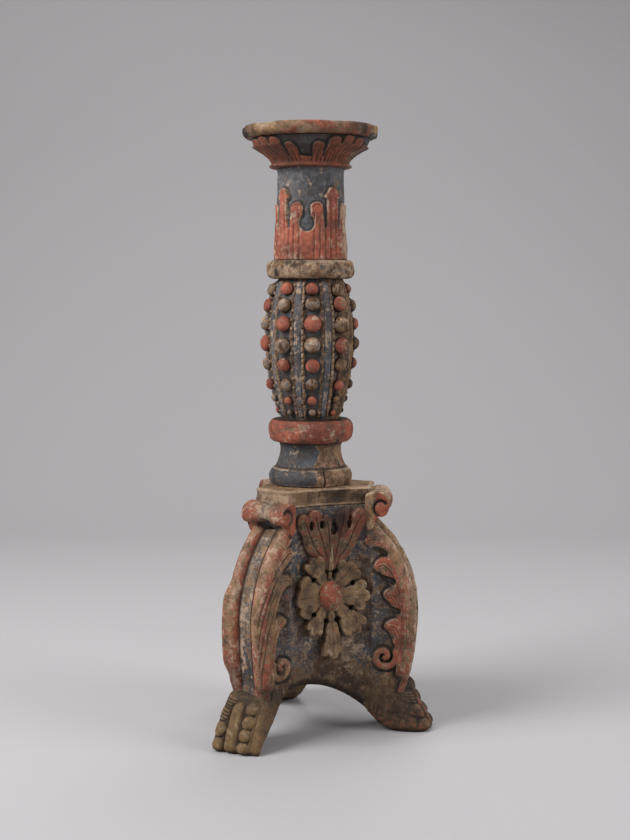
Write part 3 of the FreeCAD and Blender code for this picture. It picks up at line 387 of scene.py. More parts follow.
def smooth(mesh: bpy.types.Mesh) -> None:
    """Shades every face smooth."""
    mesh.polygons.foreach_set("use_smooth", np.ones(len(mesh.polygons), bool))


def mark(mesh: bpy.types.Mesh, name: str, values: Array) -> None:
    """Writes one number per point."""
    kept = mesh.attributes.get(name) or mesh.attributes.new(name, "FLOAT", "POINT")
    kept.data.foreach_set("value", values.astype(np.float32))


class Paint:
    """Layers of paint and wear over a grid, each between 0 and 1."""

    def __init__(self, shape: tuple[int, ...], **layers: Array | float) -> None:
        """Starts from bare wood.

        Args:
            shape: Size of the grid.
            **layers: Layers to lay at once.
        """
        self.layers = {name: np.zeros(shape) for name in LAYERS}
        self.layers["tone"] += 0.45
        self.layers["worm"] += 0.5
        self.lay(**layers)

    def __getitem__(self, name: str) -> Array:
        """One layer."""
        return self.layers[name]

    def __setitem__(self, name: str, value: Array | float) -> None:
        """Lays one layer, held between 0 and 1."""
        value = np.broadcast_to(value, self.layers[name].shape)
        self.layers[name] = np.clip(value, 0.0, 1.0).astype(float)

    def lay(self, **layers: Array | float) -> None:
        """Sets the named layers."""
        for name, value in layers.items():
            self[name] = value

    def cover(self, layers: dict[str, Array], share: Array) -> None:
        """Lays other layers over these, where share says how much of them shows."""
        for name, value in layers.items():
            self[name] = self[name] * (1.0 - share) + value * share


class Sculpt:
    """Collects closed grids into one mesh with its paint layers, which stands for one node."""

    def __init__(self, node: str) -> None:
        """Starts an empty mesh.

        Args:
            node: Name of the solid that it stands for.
        """
        self.node = node
        self.points: list[Array] = []
        self.quads: list[Array] = []
        self.fans: list[Array] = []
        self.layers: dict[str, list[Array]] = {layer: [] for layer in LAYERS}
        self.count = 0

    def _store(self, points: Array, paint: dict[str, Array]) -> int:
        """Adds loose points.

        Args:
            points: Points in millimetres.
            paint: Their layers.

        Returns:
            Number of the first.
        """
        first = self.count
        self.points.append(points.reshape(-1, 3))
        for layer in LAYERS:
            self.layers[layer].append(paint[layer].reshape(-1))
        self.count += self.points[-1].shape[0]
        return first

    def _cap(self, loop: Array, points: Array, paint: dict[str, Array]) -> None:
        """Closes a loop of stored points with a fan about its middle.

        Args:
            loop: Numbers of the points, in order.
            points: The points.
            paint: Their layers.
        """
        middle = {layer: np.array([paint[layer].mean()]) for layer in LAYERS}
        hub = self._store(points.mean(axis=0)[None, :], middle)
        after = np.roll(loop, -1)
        self.fans.append(np.stack([np.full(loop.shape, hub), loop, after], axis=-1))

    def _sheet(self, points: Array, paint: Paint) -> Array:
        """Stores a grid of points and returns their numbers."""
        rows, columns = points.shape[:2]
        return self._store(points, paint.layers) + np.arange(rows * columns).reshape(rows, columns)

    def tube(self, points: Array, paint: Paint, bridge: bool = False) -> None:
        """Adds rows of closed rings and closes both ends.

        Args:
            points: Rings in millimetres, rows by columns by 3, counter-clockwise about the way the rows go.
            paint: Layers over the same grid.
            bridge: True closes an end across a thin ring, not with a fan.
        """
        rows, columns = points.shape[:2]
        index = self._sheet(points, paint)
        side = np.roll(index, -1, axis=1)
        quads = np.stack([index[:-1], side[:-1], side[1:], index[1:]], axis=-1)
        self.quads.append(quads.reshape(-1, 4))
        for row, flip in ((0, True), (rows - 1, False)):
            loop = index[row]
            if bridge:
                half = columns // 2
                near, far = loop[:half], loop[half:][::-1]
                strip = np.stack([near[:-1], near[1:], far[1:], far[:-1]], axis=-1)
                self.quads.append(strip[:, ::-1] if flip else strip)
                continue
            edge = {layer: paint[layer][row] for layer in LAYERS}
            self._cap(loop[::-1] if flip else loop, points[row], edge)

    def plate(self, top: Array, paint: Paint, down: Array) -> None:
        """Adds a sheet of points with sides and a back moved by down.

        Args:
            top: Points of the upper side, rows by columns by 3.
            paint: Layers over the same grid.
            down: Step from the upper side to the back.
        """
        rows, columns = top.shape[:2]
        index = self._sheet(top, paint)
        quads = np.stack([index[:-1, :-1], index[:-1, 1:], index[1:, 1:], index[1:, :-1]], axis=-1)
        self.quads.append(quads.reshape(-1, 4))
        ring = [(0, j) for j in range(columns)] + [(i, columns - 1) for i in range(1, rows)]
        ring += [(rows - 1, j) for j in range(columns - 2, -1, -1)] + [(i, 0) for i in range(rows - 2, 0, -1)]
        where = tuple(np.array(ring).T)
        edge = {layer: paint[layer][where] for layer in LAYERS}
        lower = top[where] + down
        under = self._store(lower, edge) + np.arange(len(ring))
        loop = index[where]
        self.quads.append(np.stack([under, np.roll(under, -1), np.roll(loop, -1), loop], axis=-1))
        self._cap(under[::-1], lower, edge)

    def _weather(self) -> None:
        """Rubs ridges pale and darkens hollows, partly as old dust and partly as painted shade, from how
        sharply the surface bends.
        """
        points = np.concatenate(self.points)
        quads = np.concatenate(self.quads)
        size = len(points)
        edges = np.concatenate([quads[:, [number, (number + 1) % 4]] for number in range(4)])
        both = ((0, 1), (1, 0))

        def gather(numbers: Array, values: Array) -> Array:
            """Sums values onto the points they belong to, axis by axis."""
            return np.stack([np.bincount(numbers, column, size) for column in values.T], axis=-1)

        corner = [points[quads[:, number]] for number in range(4)]
        facing = np.cross(corner[2] - corner[0], corner[3] - corner[1])
        normal = sum(gather(quads[:, number], facing) for number in range(4))
        normal /= np.maximum(np.linalg.norm(normal, axis=1, keepdims=True), TINY)
        count = np.maximum(np.bincount(edges.ravel(), None, size), 1.0)
        mean = sum(gather(edges[:, near], points[edges[:, far]]) for near, far in both)
        step = mean / count[:, None] - points
        span = np.sum((points[edges[:, 0]] - points[edges[:, 1]]) ** 2, axis=1)
        length = sum(np.bincount(edges[:, near], span, size) for near in (0, 1))
        bend = -2.0 * np.sum(step * normal, axis=1) / np.maximum(length / count, 0.05)
        bend = np.clip(bend * 2.2, -1.5, 1.5)
        for _ in range(2):
            total = sum(np.bincount(edges[:, near], bend[edges[:, far]], size) for near, far in both)
            bend = 0.5 * bend + 0.5 * total / count
        # Ridges are rubbed pale; hollows are darkened with dust and painted shade.
        rubbed, hollow_dirt_and_shade = 0.30 * ease(0.25, 0.95, bend), 0.45 * ease(0.2, 0.95, -bend)
        for layer, more in (("gesso", rubbed), ("grime_and_shade", hollow_dirt_and_shade)):
            self.layers[layer] = [np.clip(np.concatenate(self.layers[layer]) + more, 0.0, 1.0)]

    def build(self, material: bpy.types.Material) -> bpy.types.Object:
        """Makes the Blender object, in metres, with smooth faces and one float attribute per layer.

        Args:
            material: Finish of the mesh.

        Returns:
            The object.
        """
        self._weather()
        name = f"{self.node}_carved"
        points = np.concatenate(self.points) * MM
        faces = [face for block in self.quads + self.fans for face in block.tolist()]
        mesh = bpy.data.meshes.new(name)
        mesh.from_pydata(points.tolist(), [], faces)
        for layer in LAYERS:
            mark(mesh, layer, np.concatenate(self.layers[layer]))
        smooth(mesh)
        mesh.materials.append(material)
        mesh.validate()
        mesh.update()
        return show(name, mesh)


# Shader maths.


class Wire:
    """A shader socket that takes part in arithmetic."""

    def __init__(self, graph: "Graph", socket: bpy.types.NodeSocket) -> None:
        """Holds an output of a node."""
        self.graph = graph
        self.socket = socket

    def _math(self, kind: str, *values: "Wire | float") -> "Wire":
        """Adds a Math node."""
        return self.graph.node("ShaderNodeMath", dict(enumerate(values)), operation=kind)

    def __add__(self, other: "Wire | float") -> "Wire":
        """Sum."""
        return self._math("ADD", self, other)

    def __sub__(self, other: "Wire | float") -> "Wire":
        """Difference."""
        return self._math("SUBTRACT", self, other)

    def __mul__(self, other: "Wire | float") -> "Wire":
        """Product."""
        return self._math("MULTIPLY", self, other)

    def __radd__(self, other: float) -> "Wire":
        """Sum with a plain number."""
        return self._math("ADD", other, self)

    def __rsub__(self, other: float) -> "Wire":
        """Difference from a plain number."""
        return self._math("SUBTRACT", other, self)

    def step(self, low: float, high: float) -> "Wire":
        """Smooth step between two values."""
        inputs = {"Value": self, "From Min": low, "From Max": high}
        return self.graph.node("ShaderNodeMapRange", inputs, interpolation_type="SMOOTHSTEP")

    def most(self, other: "Wire | float") -> "Wire":
        """The larger of two values."""
        return self._math("MAXIMUM", self, other)


class Graph:
    """The node tree of one material."""

    def __init__(self, name: str) -> None:
        """Starts an empty material.

        Args:
            name: Name of the material.
        """
        self.material = bpy.data.materials.new(name)
        self.material.use_nodes = True
        self.tree = self.material.node_tree
        self.tree.nodes.clear()
        self.place = self.node("ShaderNodeTexCoord", output="Object")

    def node(self, kind: str, inputs: dict | None = None, output: int | str = 0, **settings) -> Wire:
        """Adds any node.

        Args:
            kind: Blender's name of the node type.
            inputs: Socket number or name to a Wire or a plain value.
            output: Which output to hand back.
            **settings: Properties of the node.

        Returns:
            The chosen output.
        """
        made = self.tree.nodes.new(kind)
        for key, value in settings.items():
            setattr(made, key, value)
        for key, value in (inputs or {}).items():
            if isinstance(value, Wire):
                self.tree.links.new(value.socket, made.inputs[key])
            else:
                made.inputs[key].default_value = value
        return Wire(self, made.outputs[output])

    def layer(self, name: str) -> Wire:
        """A paint layer of the mesh."""
        return self.node("ShaderNodeAttribute", output="Fac", attribute_name=name)

    def cloud(self, scale: float, detail: float, stretch: tuple = (1, 1, 1)) -> Wire:
        """Noise between about 0 and 1, stretched along the axes.

        Args:
            scale: Lumps to the metre.
            detail: How many finer sizes are added.
            stretch: Factor on each axis.

        Returns:
            The noise.
        """
        moved = self.node("ShaderNodeVectorMath", {0: self.place, 1: stretch}, operation="MULTIPLY")
        inputs = {"Vector": moved, "Scale": scale, "Detail": detail, "Roughness": 0.6}
        return self.node("ShaderNodeTexNoise", inputs)

    def mix(self, share: Wire | float, first: "Wire | Colour", second: "Wire | Colour") -> Wire:
        """Mixes two colours.

        Args:
            share: How much of the second shows.
            first: Colour below.
            second: Colour above.

        Returns:
            The mixed colour.
        """
        values = {0: share}
        for number, colour in zip(MIX_INPUTS, (first, second)):
            values[number] = colour if isinstance(colour, Wire) else (*colour, 1.0)
        return self.node("ShaderNodeMix", values, output=MIX_RESULT, data_type="RGBA")

    def finish(
        self, colour: Wire, rough: Wire | float, height: Wire, depth: float, metal: Wire | float = 0.0
    ) -> None:
        """Ends the tree in one surface with a bumped normal.

        Args:
            colour: Base colour.
            rough: Roughness.
            height: Height of the bumps, about 0 to 1.
            depth: How deep they are, in metres.
            metal: How metallic the surface is.
        """
        bump = self.node("ShaderNodeBump", {"Strength": 0.6, "Distance": depth, "Height": height})
        values = {"Base Color": colour, "Roughness": rough, "Metallic": metal, "Normal": bump}
        surface = self.node("ShaderNodeBsdfPrincipled", {**values, "Specular IOR Level": 0.3})
        out = self.tree.nodes.new("ShaderNodeOutputMaterial")
        self.tree.links.new(surface.socket, out.inputs["Surface"])


@dataclass(frozen=True)
class Polychrome:
    """Old flaking paint over white ground on carved wood; the mesh's layers say what shows where."""

    name: str
    red: Colour = (0.320, 0.080, 0.044)
    red_deep: Colour = (0.150, 0.038, 0.023)
    pink: Colour = (0.390, 0.168, 0.108)
    blue: Colour = (0.069, 0.074, 0.086)
    blue_deep: Colour = (0.024, 0.026, 0.031)
    ochre: Colour = (0.265, 0.148, 0.058)
    ground: Colour = (0.400, 0.288, 0.200)
    wood: Colour = (0.160, 0.084, 0.040)
    wood_deep: Colour = (0.045, 0.024, 0.013)
    wood_pale: Colour = (0.345, 0.200, 0.098)
    patina: Colour = (0.062, 0.037, 0.023)
    # Near-black of real dirt and of painted shade.
    dirt_and_shade: Colour = (0.012, 0.009, 0.007)
    flake: float = 2.1
    haze: float = 0.66
    grain: tuple[float, float, float] = (1.0, 1.0, 0.09)

    def material(self) -> bpy.types.Material:
        """Builds the node tree.

        Returns:
            The finished material.
        """
        graph = Graph(self.name)
        layer = {name: graph.layer(name) for name in LAYERS}
        broad = graph.cloud(26.0, 3.0)
        middle = graph.cloud(75.0, 4.0)
        flakes = graph.cloud(170.0, 4.0)
        fine = graph.cloud(520.0, 2.0)
        fibre = graph.cloud(330.0, 3.0, self.grain)
        scatter = flakes * 0.55 + fine * 0.20 + middle * 0.55 - 0.65

        def shows(name: str, soft: float = 0.07) -> Wire:
            """Where a paint layer shows, with flaked edges."""
            return (layer[name] + scatter * self.flake).step(0.5 - soft, 0.5 + soft)

        tone = (layer["tone"] + (fibre - 0.5) * 0.9 + (broad - 0.5) * 0.6).step(0.0, 1.0)
        any_paint = layer["red"].most(layer["blue"]).most(layer["ochre"])
        primed = (any_paint + scatter * self.flake + 0.10).step(0.42, 0.56) * 0.5
        blue = graph.mix((broad * 0.5 + flakes * 0.5).step(0.36, 0.62), self.blue_deep, self.blue)
        ochre = graph.mix((flakes * 0.6 + fibre * 0.4).step(0.3, 0.7), self.wood, self.ochre)
        red = graph.mix((broad * 0.6 + flakes * 0.4).step(0.35, 0.65), self.red_deep, self.red)
        red = graph.mix((fine * 0.5 + flakes * 0.5).step(0.52, 0.75) * 0.6, red, self.pink)
        cells = {"Vector": graph.place, "Scale": 150.0}
        specks, chance = (
            graph.node("ShaderNodeTexVoronoi", cells, output=out) for out in ("Distance", "Color")
        )
        lucky = graph.node("ShaderNodeSeparateColor", {0: chance}).step(0.62, 0.66)
        holes = (1.0 - specks.step(0.10, 0.17)) * lucky * layer["worm"]
        chalk = (middle * 0.4 + fine * 0.3 + fibre * 0.3).step(0.50, 0.70) * 0.34
        haze = graph.cloud(48.0, 6.0)
        worn = (haze * 0.7 + fine * 0.3 + layer["grime_and_shade"] * 0.25).step(0.42, 0.70) * self.haze
        # Real dirt and painted shade: where the darkening layer is high, the surface goes near-black.
        soil_and_shade = (layer["grime_and_shade"] + (broad - 0.5) * 0.5 * layer["grime_and_shade"]).step(0.05, 0.95) * 0.88
        colour = graph.mix(tone.step(0.0, 0.55), self.wood_deep, self.wood)
        for share, over in (
            (tone.step(0.5, 1.0), self.wood_pale),
            (primed, self.ground),
            (shows("blue"), blue),
            (shows("ochre"), ochre),
            (shows("red"), red),
            (shows("gesso", 0.12) * 0.85, self.ground),
            (chalk, self.ground),
            (worn, self.patina),
            (soil_and_shade.most(holes * 0.92), self.dirt_and_shade),
        ):
            colour = graph.mix(share, colour, over)
        rough = 0.62 + fine * 0.2 + soil_and_shade * 0.1
        height = fibre * 0.35 + flakes * 0.35 + fine * 0.30 + any_paint * scatter * 0.6 - holes * 1.2
        graph.finish(colour, rough, height, 0.0011)
        return graph.material


@dataclass(frozen=True)
class Iron:
    """Dark wrought iron with brown rust."""

    name: str
    bare: Colour = (0.10, 0.095, 0.09)
    rust: Colour = (0.16, 0.065, 0.030)

    def material(self) -> bpy.types.Material:
        """Builds the node tree.

        Returns:
            The finished material.
        """
        graph = Graph(self.name)
        patch = graph.cloud(400.0, 4.0).step(0.4, 0.62)
        fine = graph.cloud(1500.0, 3.0)
        colour = graph.mix(patch, self.bare, self.rust)
        graph.finish(colour, 0.45 + patch * 0.35, patch * 0.5 + fine * 0.5, 0.0004, 0.8 - patch * 0.7)
        return graph.material


@dataclass(frozen=True)
class Timber:
    """Plain old wood of the hidden joinery, with growth lines along one axis."""

    name: str
    pale: Colour = (0.30, 0.19, 0.11)
    deep: Colour = (0.12, 0.07, 0.04)

    def material(self) -> bpy.types.Material:
        """Builds the node tree.

        Returns:
            The finished material.
        """
        graph = Graph(self.name)
        fibre = graph.cloud(300.0, 4.0, (1.0, 1.0, 0.06))
        broad = graph.cloud(22.0, 3.0, (1.0, 1.0, 0.3))
        share = (fibre * 0.65 + broad * 0.35).step(0.3, 0.7)
        colour = graph.mix(share, self.deep, self.pale)
        graph.finish(colour, 0.7 + fibre * 0.2, fibre, 0.0006)
        return graph.material


@dataclass(frozen=True)
class Backdrop:
    """Plain pale studio paper."""

    name: str
    colour: Colour = (0.42, 0.41, 0.42)

    def material(self) -> bpy.types.Material:
        """Builds the node tree.

        Returns:
            The finished material.
        """
        graph = Graph(self.name)
        fleck = graph.cloud(60.0, 3.0)
        shade = tuple(part * 0.96 for part in self.colour)
        graph.finish(graph.mix(fleck, shade, self.colour), 0.8, fleck, 0.0002)
        return graph.material


# Pieces.


def old_ground(spots: Array) -> dict[str, Array]:
    """Paint layers of the hollow ground between the carvings: worn blue-grey over brown wood.

    Args:
        spots: Places of the grid, in millimetres.

    Returns:
        Values by layer.
    """
    patch = noise(spots, 26.0, 3, 123)
    low = ease(150.0, 55.0, spots[..., 2] + 25.0 * noise(spots, 40.0, 2, 126))
    return {
        "blue": 0.62 + 0.26 * patch - 0.46 * low,
        "red": 0.14 + 0.2 * noise(spots, 22.0, 3, 124) + 0.10 * low,
        "gesso": 0.27 + 0.25 * noise(spots, 14.0, 3, 125) - 0.12 * low,
        "ochre": 0.25 + 0.15 * patch + 0.14 * low,
        "tone": 0.40 + 0.2 * patch - 0.06 * low,
        "grime_and_shade": 0.16 + 0.3 * ease(0.2, 0.9, -patch) + 0.31 * low,
        "worm": np.full(patch.shape, 0.9),
    }


@dataclass
class Part:
    """A named piece of the object that stands for one solid of the frame."""

    finish: bpy.types.Material
    slot = Slot.BARE

    def tie(self, made: bpy.types.Object, node: str, slot: Slot) -> bpy.types.Object:
        """Ties a piece to the frame.

        Args:
            made: The piece.
            node: The solid that it stands for.
            slot: Its material slot; not used.

        Returns:
            The same piece.
        """
        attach(made, ROOT)
        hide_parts(node)
        log.info("%s: %d points", made.name, len(made.data.vertices))
        return made

    def settle(self, sculpt: Sculpt, slot: Slot | None = None) -> bpy.types.Object:
        """Makes the mesh, and ties it to the frame."""
        return self.tie(sculpt.build(self.finish), sculpt.node, slot or self.slot)

    def tube(self, node: str, points: Array, paint: Paint, slot: Slot | None = None) -> bpy.types.Object:
        """Makes a piece of one tube.

        Args:
            node: The solid that it stands for.
            points: Rings in millimetres.
            paint: Layers over the same grid.
            slot: Its material slot, or None for the class's own.

        Returns:
            The finished piece.
        """
        sculpt = Sculpt(node)
        sculpt.tube(points, paint)
        return self.settle(sculpt, slot)


@dataclass
class Round:
    """A grid round the stem's axis: radius, height and angle in degrees."""

    radius: Array
    height: Array
    turn: Array

    def __post_init__(self) -> None:
        """Works out the angle from the viewer, and the points."""
        self.seen = turn_from(self.turn, VIEWER)
        self.spots = self.points(self.radius, self.height)

    @classmethod
    def turned(cls, profile: list[tuple[float, float]], rows: int, columns: int) -> "Round":
        """Rows along a turned profile, and columns round the axis.

        Args:
            profile: Points (radius, height) from the bottom up.
            rows: How many rows, evenly spaced along the profile.
            columns: How many columns.

        Returns:
            The grid.
        """
        line = walk(np.asarray(profile, float), rows)
        sides = (line[:, :1], line[:, 1:], np.arange(columns) * 360.0 / columns)
        return cls(*(np.broadcast_to(side, (rows, columns)) for side in sides))

    def points(self, radius: Array, height: Array | None = None) -> Array:
        """Points of the grid with another radius, and maybe other heights.

        Args:
            radius: The other radius.
            height: Other heights, or None.

        Returns:
            Points in millimetres.
        """
        angle = np.radians(self.turn)
        height = self.height if height is None else height
        return np.stack([radius * np.cos(angle), radius * np.sin(angle), height], axis=-1)


@dataclass
class DripPan(Part):
    """Round drip pan with a chipped rim and a shallow dish."""

    radius: float = 101.0
    bottom: float = 882.0
    top: float = 900.0
    dish: float = 88.0
    size: tuple[int, int] = (120, 320)

    def build(self) -> bpy.types.Object:
        """Sculpts the pan.

        Returns:
            The finished piece.
        """
        edge, low, high = self.radius, self.bottom, self.top
        profile = [(CORE, low), (edge - 9, low), (edge - 4, low + 1.5), (edge - 1, low + 5), (edge, low + 9)]
        profile += [(edge - 0.5, high - 4), (edge - 3, high - 1), (edge - 7, high), (self.dish, high - 0.6)]
        profile += [(self.dish - 3, high - 2.7), (CORE, high - 3.0)]
        grid = Round.turned(profile, *self.size)
        rim = ease(edge - 12, edge - 2, grid.radius)
        rough = noise(grid.spots, 16.0, 4, 3)
        chip = ease(0.15, 0.75, noise(grid.spots, (22.0, 22.0, 14.0), 3, 8)) * rim
        broken = hump(grid.seen, -84, 16) * rim
        radius = grid.radius + rim * rough * 0.8 - chip * 2.2 - broken * ease(-0.2, 0.6, rough) * 4.0
        side = np.sin(np.radians(grid.seen)) * radius
        radius = radius - np.clip(side - (edge - 3.0), 0.0, None) * rim * 0.9
        height = grid.height + noise(grid.spots, 30.0, 3, 5) * 0.7 * (grid.height > low + 1)
        paint = self.dress(grid, rim, chip, broken, height)
        return self.tube("drip_pan", grid.points(radius, height), paint)

    def dress(self, grid: Round, rim: Array, chip: Array, broken: Array, height: Array) -> Paint:
        """Worn wood, with ochre at the left and blue-grey under the right end.

        Args:
            grid: The pan as turned.
            rim: Where the rim is.
            chip: Where it is chipped.
            broken: Where it is broken off.
            height: Heights as worn.

        Returns:
            The layers of paint.
        """
        spots, seen = grid.spots, grid.seen
        patch = noise(spots, 26.0, 3, 11)
        strip = band(seen, -62, -54, -32, -24) * rim
        facet = band(seen, 60, 66, 92, 100) * rim
        rotten = hump(seen, 47, 9) * rim
        low = ease(self.bottom + 9, self.bottom + 3, height)
        upper = ease(self.top - 10, self.top - 4, height)
        dark = np.maximum(0.85 * broken * ease(-0.5, 0.3, patch), 0.7 * rotten * ease(-0.5, 0.4, patch))
        return Paint(
            seen.shape,
            tone=0.46 + 0.22 * patch + 0.25 * chip + 0.35 * facet + 0.2 * strip - 0.3 * rotten,
            ochre=0.28 + 0.42 * strip + 0.2 * noise(spots, 18.0, 2, 13) - 0.3 * facet,
            blue=0.75 * hump(seen, 68, 22) * low + 0.25 * low,
            red=(0.54 + 0.3 * noise(spots, 20.0, 2, 12)) * (1.0 - 0.7 * np.maximum(strip, facet)),
            gesso=0.27 + 0.2 * patch + 0.2 * chip + 0.30 * strip * upper,
            grime_and_shade=0.19 + dark + 0.35 * ease(0.2, 0.8, -patch) * rim + 0.3 * hump(seen, -58, 2.5) * rim,
        )


@dataclass
class LeafRing(Part):
    """A turned ground with four carved leaves round it: the cup under the pan, or the neck.

    A kind of leaf says up to what height its ground is full, the width and the fading length of its
    flutes, its lobes and the cuts between them as bars of two ends and two radii, and where its flutes
    stand and end.
    """

    node: str
    profile: list[tuple[float, float]]
    size: tuple[int, int]
    relief: float
    tip_curl: float
    mean_radius: float
    # Painted shadow of the pan over the cup: darkens the leaves and dims their pale edges.
    pan_shadow: float = 0.0
    leaves: int = 4
    leaf_turn: float = 286.0
    slot = Slot.RED_BLUE

    def outline(self, across: Array, rise: Array) -> Array:
        """Distance outside the leaf; across is from its middle line, in millimetres."""
        leaf = least(rise - self.full_to, *(capsule(across, rise, *lobe) for lobe in self.lobes))
        return np.maximum(leaf, -least(*(capsule(across, rise, *cut) for cut in self.cuts)))

    def grooves(self, across: Array, rise: Array) -> Array:
        """Depth of the carved flutes, each up to its own height.

        Args:
            across: Distance from the leaf's middle line.
            rise: Height over the foot.

        Returns:
            Depth, 0 to 1.
        """
        lines = (
            hump(across, spot, self.flute) * ease(end, end - self.fade, rise) for spot, end in self.flutes
        )
        return most(*lines)

    def build(self) -> bpy.types.Object:
        """Sculpts the ground and its leaves.

        Returns:
            The finished piece.
        """
        grid = Round.turned(self.profile, *self.size)
        rise = grid.height - self.profile[0][1]
        tall = self.profile[-1][1] - self.profile[0][1]
        part = repeat_from(grid.turn, self.leaf_turn, self.leaves)
        wander = noise(grid.spots, 13.0, 3, 21) * 1.1
        across = np.radians(np.abs(part)) * self.mean_radius + wander * 0.5
        gap = self.outline(across, rise + wander)
        inside = ease(0.4, -1.8, gap)
        lift = self.relief + self.tip_curl * ease(0.35, 1.0, rise / tall) ** 2
        flutes = self.grooves(across, rise) * inside
        live = (rise > 0.2) & (rise < tall - 0.2)
        worn = 0.8 + 0.35 * noise(grid.spots, 24.0, 2, 22)
        out = inside * lift * worn - flutes * 1.5 + noise(grid.spots, 9.0, 3, 24) * 0.35
        paint = self.dress(grid, gap, inside, flutes)
        return self.tube(self.node, grid.points(grid.radius + out * live), paint)

    def dress(self, grid: Round, gap: Array, inside: Array, flutes: Array) -> Paint:
        """Red leaves with pale worn edges on a blue ground, with painted shade round the leaves and in the
        flutes.

        Args:
            grid: The ground as turned.
            gap: Distance outside the leaf.
            inside: Where the leaf is.
            flutes: Depth of the flutes.

        Returns:
            The layers of paint.
        """
        spots = grid.spots
        patch = noise(spots, 20.0, 3, 31)
        bare = band(grid.seen, 48, 72, 95, 130)
        lip = hump(gap, -1.1, 0.9) * (0.55 + 0.3 * noise(spots, 8.0, 2, 33))
        ridge = hump(flutes, 0.35, 0.22) * inside * (0.45 + 0.3 * noise(spots, 10.0, 2, 34))
        scuff = 0.17 + 0.13 * inside + 0.25 * noise(spots, (11.0, 11.0, 16.0), 3, 35)
        # Painted shade just outside each leaf's outline and deep in the flutes.
        under = hump(gap, 1.6, 1.5) * 0.75
        return Paint(
            gap.shape,
            red=inside * (0.92 + 0.22 * patch) * (1.0 - 0.45 * bare),
            blue=(1.0 - inside) * (0.86 + 0.25 * patch),
            ochre=0.16 + 0.2 * patch,
            # On the cup the pan's painted shadow dims the pale edges and darkens everything.
            gesso=most(lip, ridge, scuff) + 0.35 * bare * inside - 0.8 * self.pan_shadow,
            grime_and_shade=np.maximum(under, ease(0.55, 1.1, flutes) * 0.40) - 0.06 + self.pan_shadow,
            tone=0.5 + 0.2 * patch,
        )


@dataclass
class LeafNeck(LeafRing):
    """The neck: tall leaves with side lobes and an open eyelet between two leaves."""

    full_to, flute, fade = 46.0, 1.3, 10.0
    lobes = (
        ((0.0, 20.0), (0.0, 95.0), 11.5, 9.5),
        ((6.0, 94.0), (10.5, 90.0), 5.0, 3.4),
        ((25.0, 20.0), (25.0, 73.0), 12.5, 10.0),
        ((29.0, 78.0), (34.0, 74.5), 4.6, 3.4),
    )
    cuts = (((12.8, 63.0), (14.2, 84.0), 2.9, 1.8), ((40.0, 60.0), (40.0, 76.0), 5.0, 4.0))
    flutes = ((4.6, 96.0), (12.8, 66.0), (21.5, 62.0), (30.0, 74.0))

    def outline(self, across: Array, rise: Array) -> Array:
        """Distance outside a neck leaf, whose eyelet is round."""
        eye = np.hypot((across - 40.0) / 0.96, (rise - 53.0) / 1.10) - 10.5
        return np.maximum(super().outline(across, rise), -eye)

    def grooves(self, across: Array, rise: Array) -> Array:
        """Flutes down each lobe, and one under each notch.

        Args:
            across: Distance from the leaf's middle line.
            rise: Height over the neck's foot.

        Returns:
            Depth, 0 to 1.
        """
        crescent = np.abs(np.hypot(across - 24.5, rise - 73.0) - 6.0)
        curved = hump(crescent, 0.0, self.flute) * ease(72.0, 76.0, rise) * 0.9
        return np.maximum(curved, super().grooves(across, rise))


@dataclass
class LeafCup(LeafRing):
    """The cup: leaves of five round lobes that curl outwards under the pan."""

    full_to, flute, fade = 14.0, 1.4, 9.0
    lobes = (
        ((0.0, 6.0), (0.0, 32.0), 9.0, 10.0),
        ((15.0, 6.0), (18.5, 29.5), 10.0, 10.5),
        ((36.0, 4.0), (39.0, 23.0), 9.5, 9.0),
    )
    cuts = (((29.3, 22.0), (29.6, 36.0), 1.6, 2.6), ((9.2, 31.0), (9.4, 40.0), 0.9, 1.6))
    flutes = ((4.5, 36.0), (9.4, 28.0), (15.0, 34.0), (21.5, 32.0), (28.5, 20.0), (35.0, 29.0), (42.5, 24.0))

    def grooves(self, across: Array, rise: Array) -> Array:
        """Flutes that fan up into the lobes."""
        fan = across * (1.0 - 0.15 * (1.0 - rise / 43.0))
        return super().grooves(fan, rise) * ease(4.0, 9.0, rise)


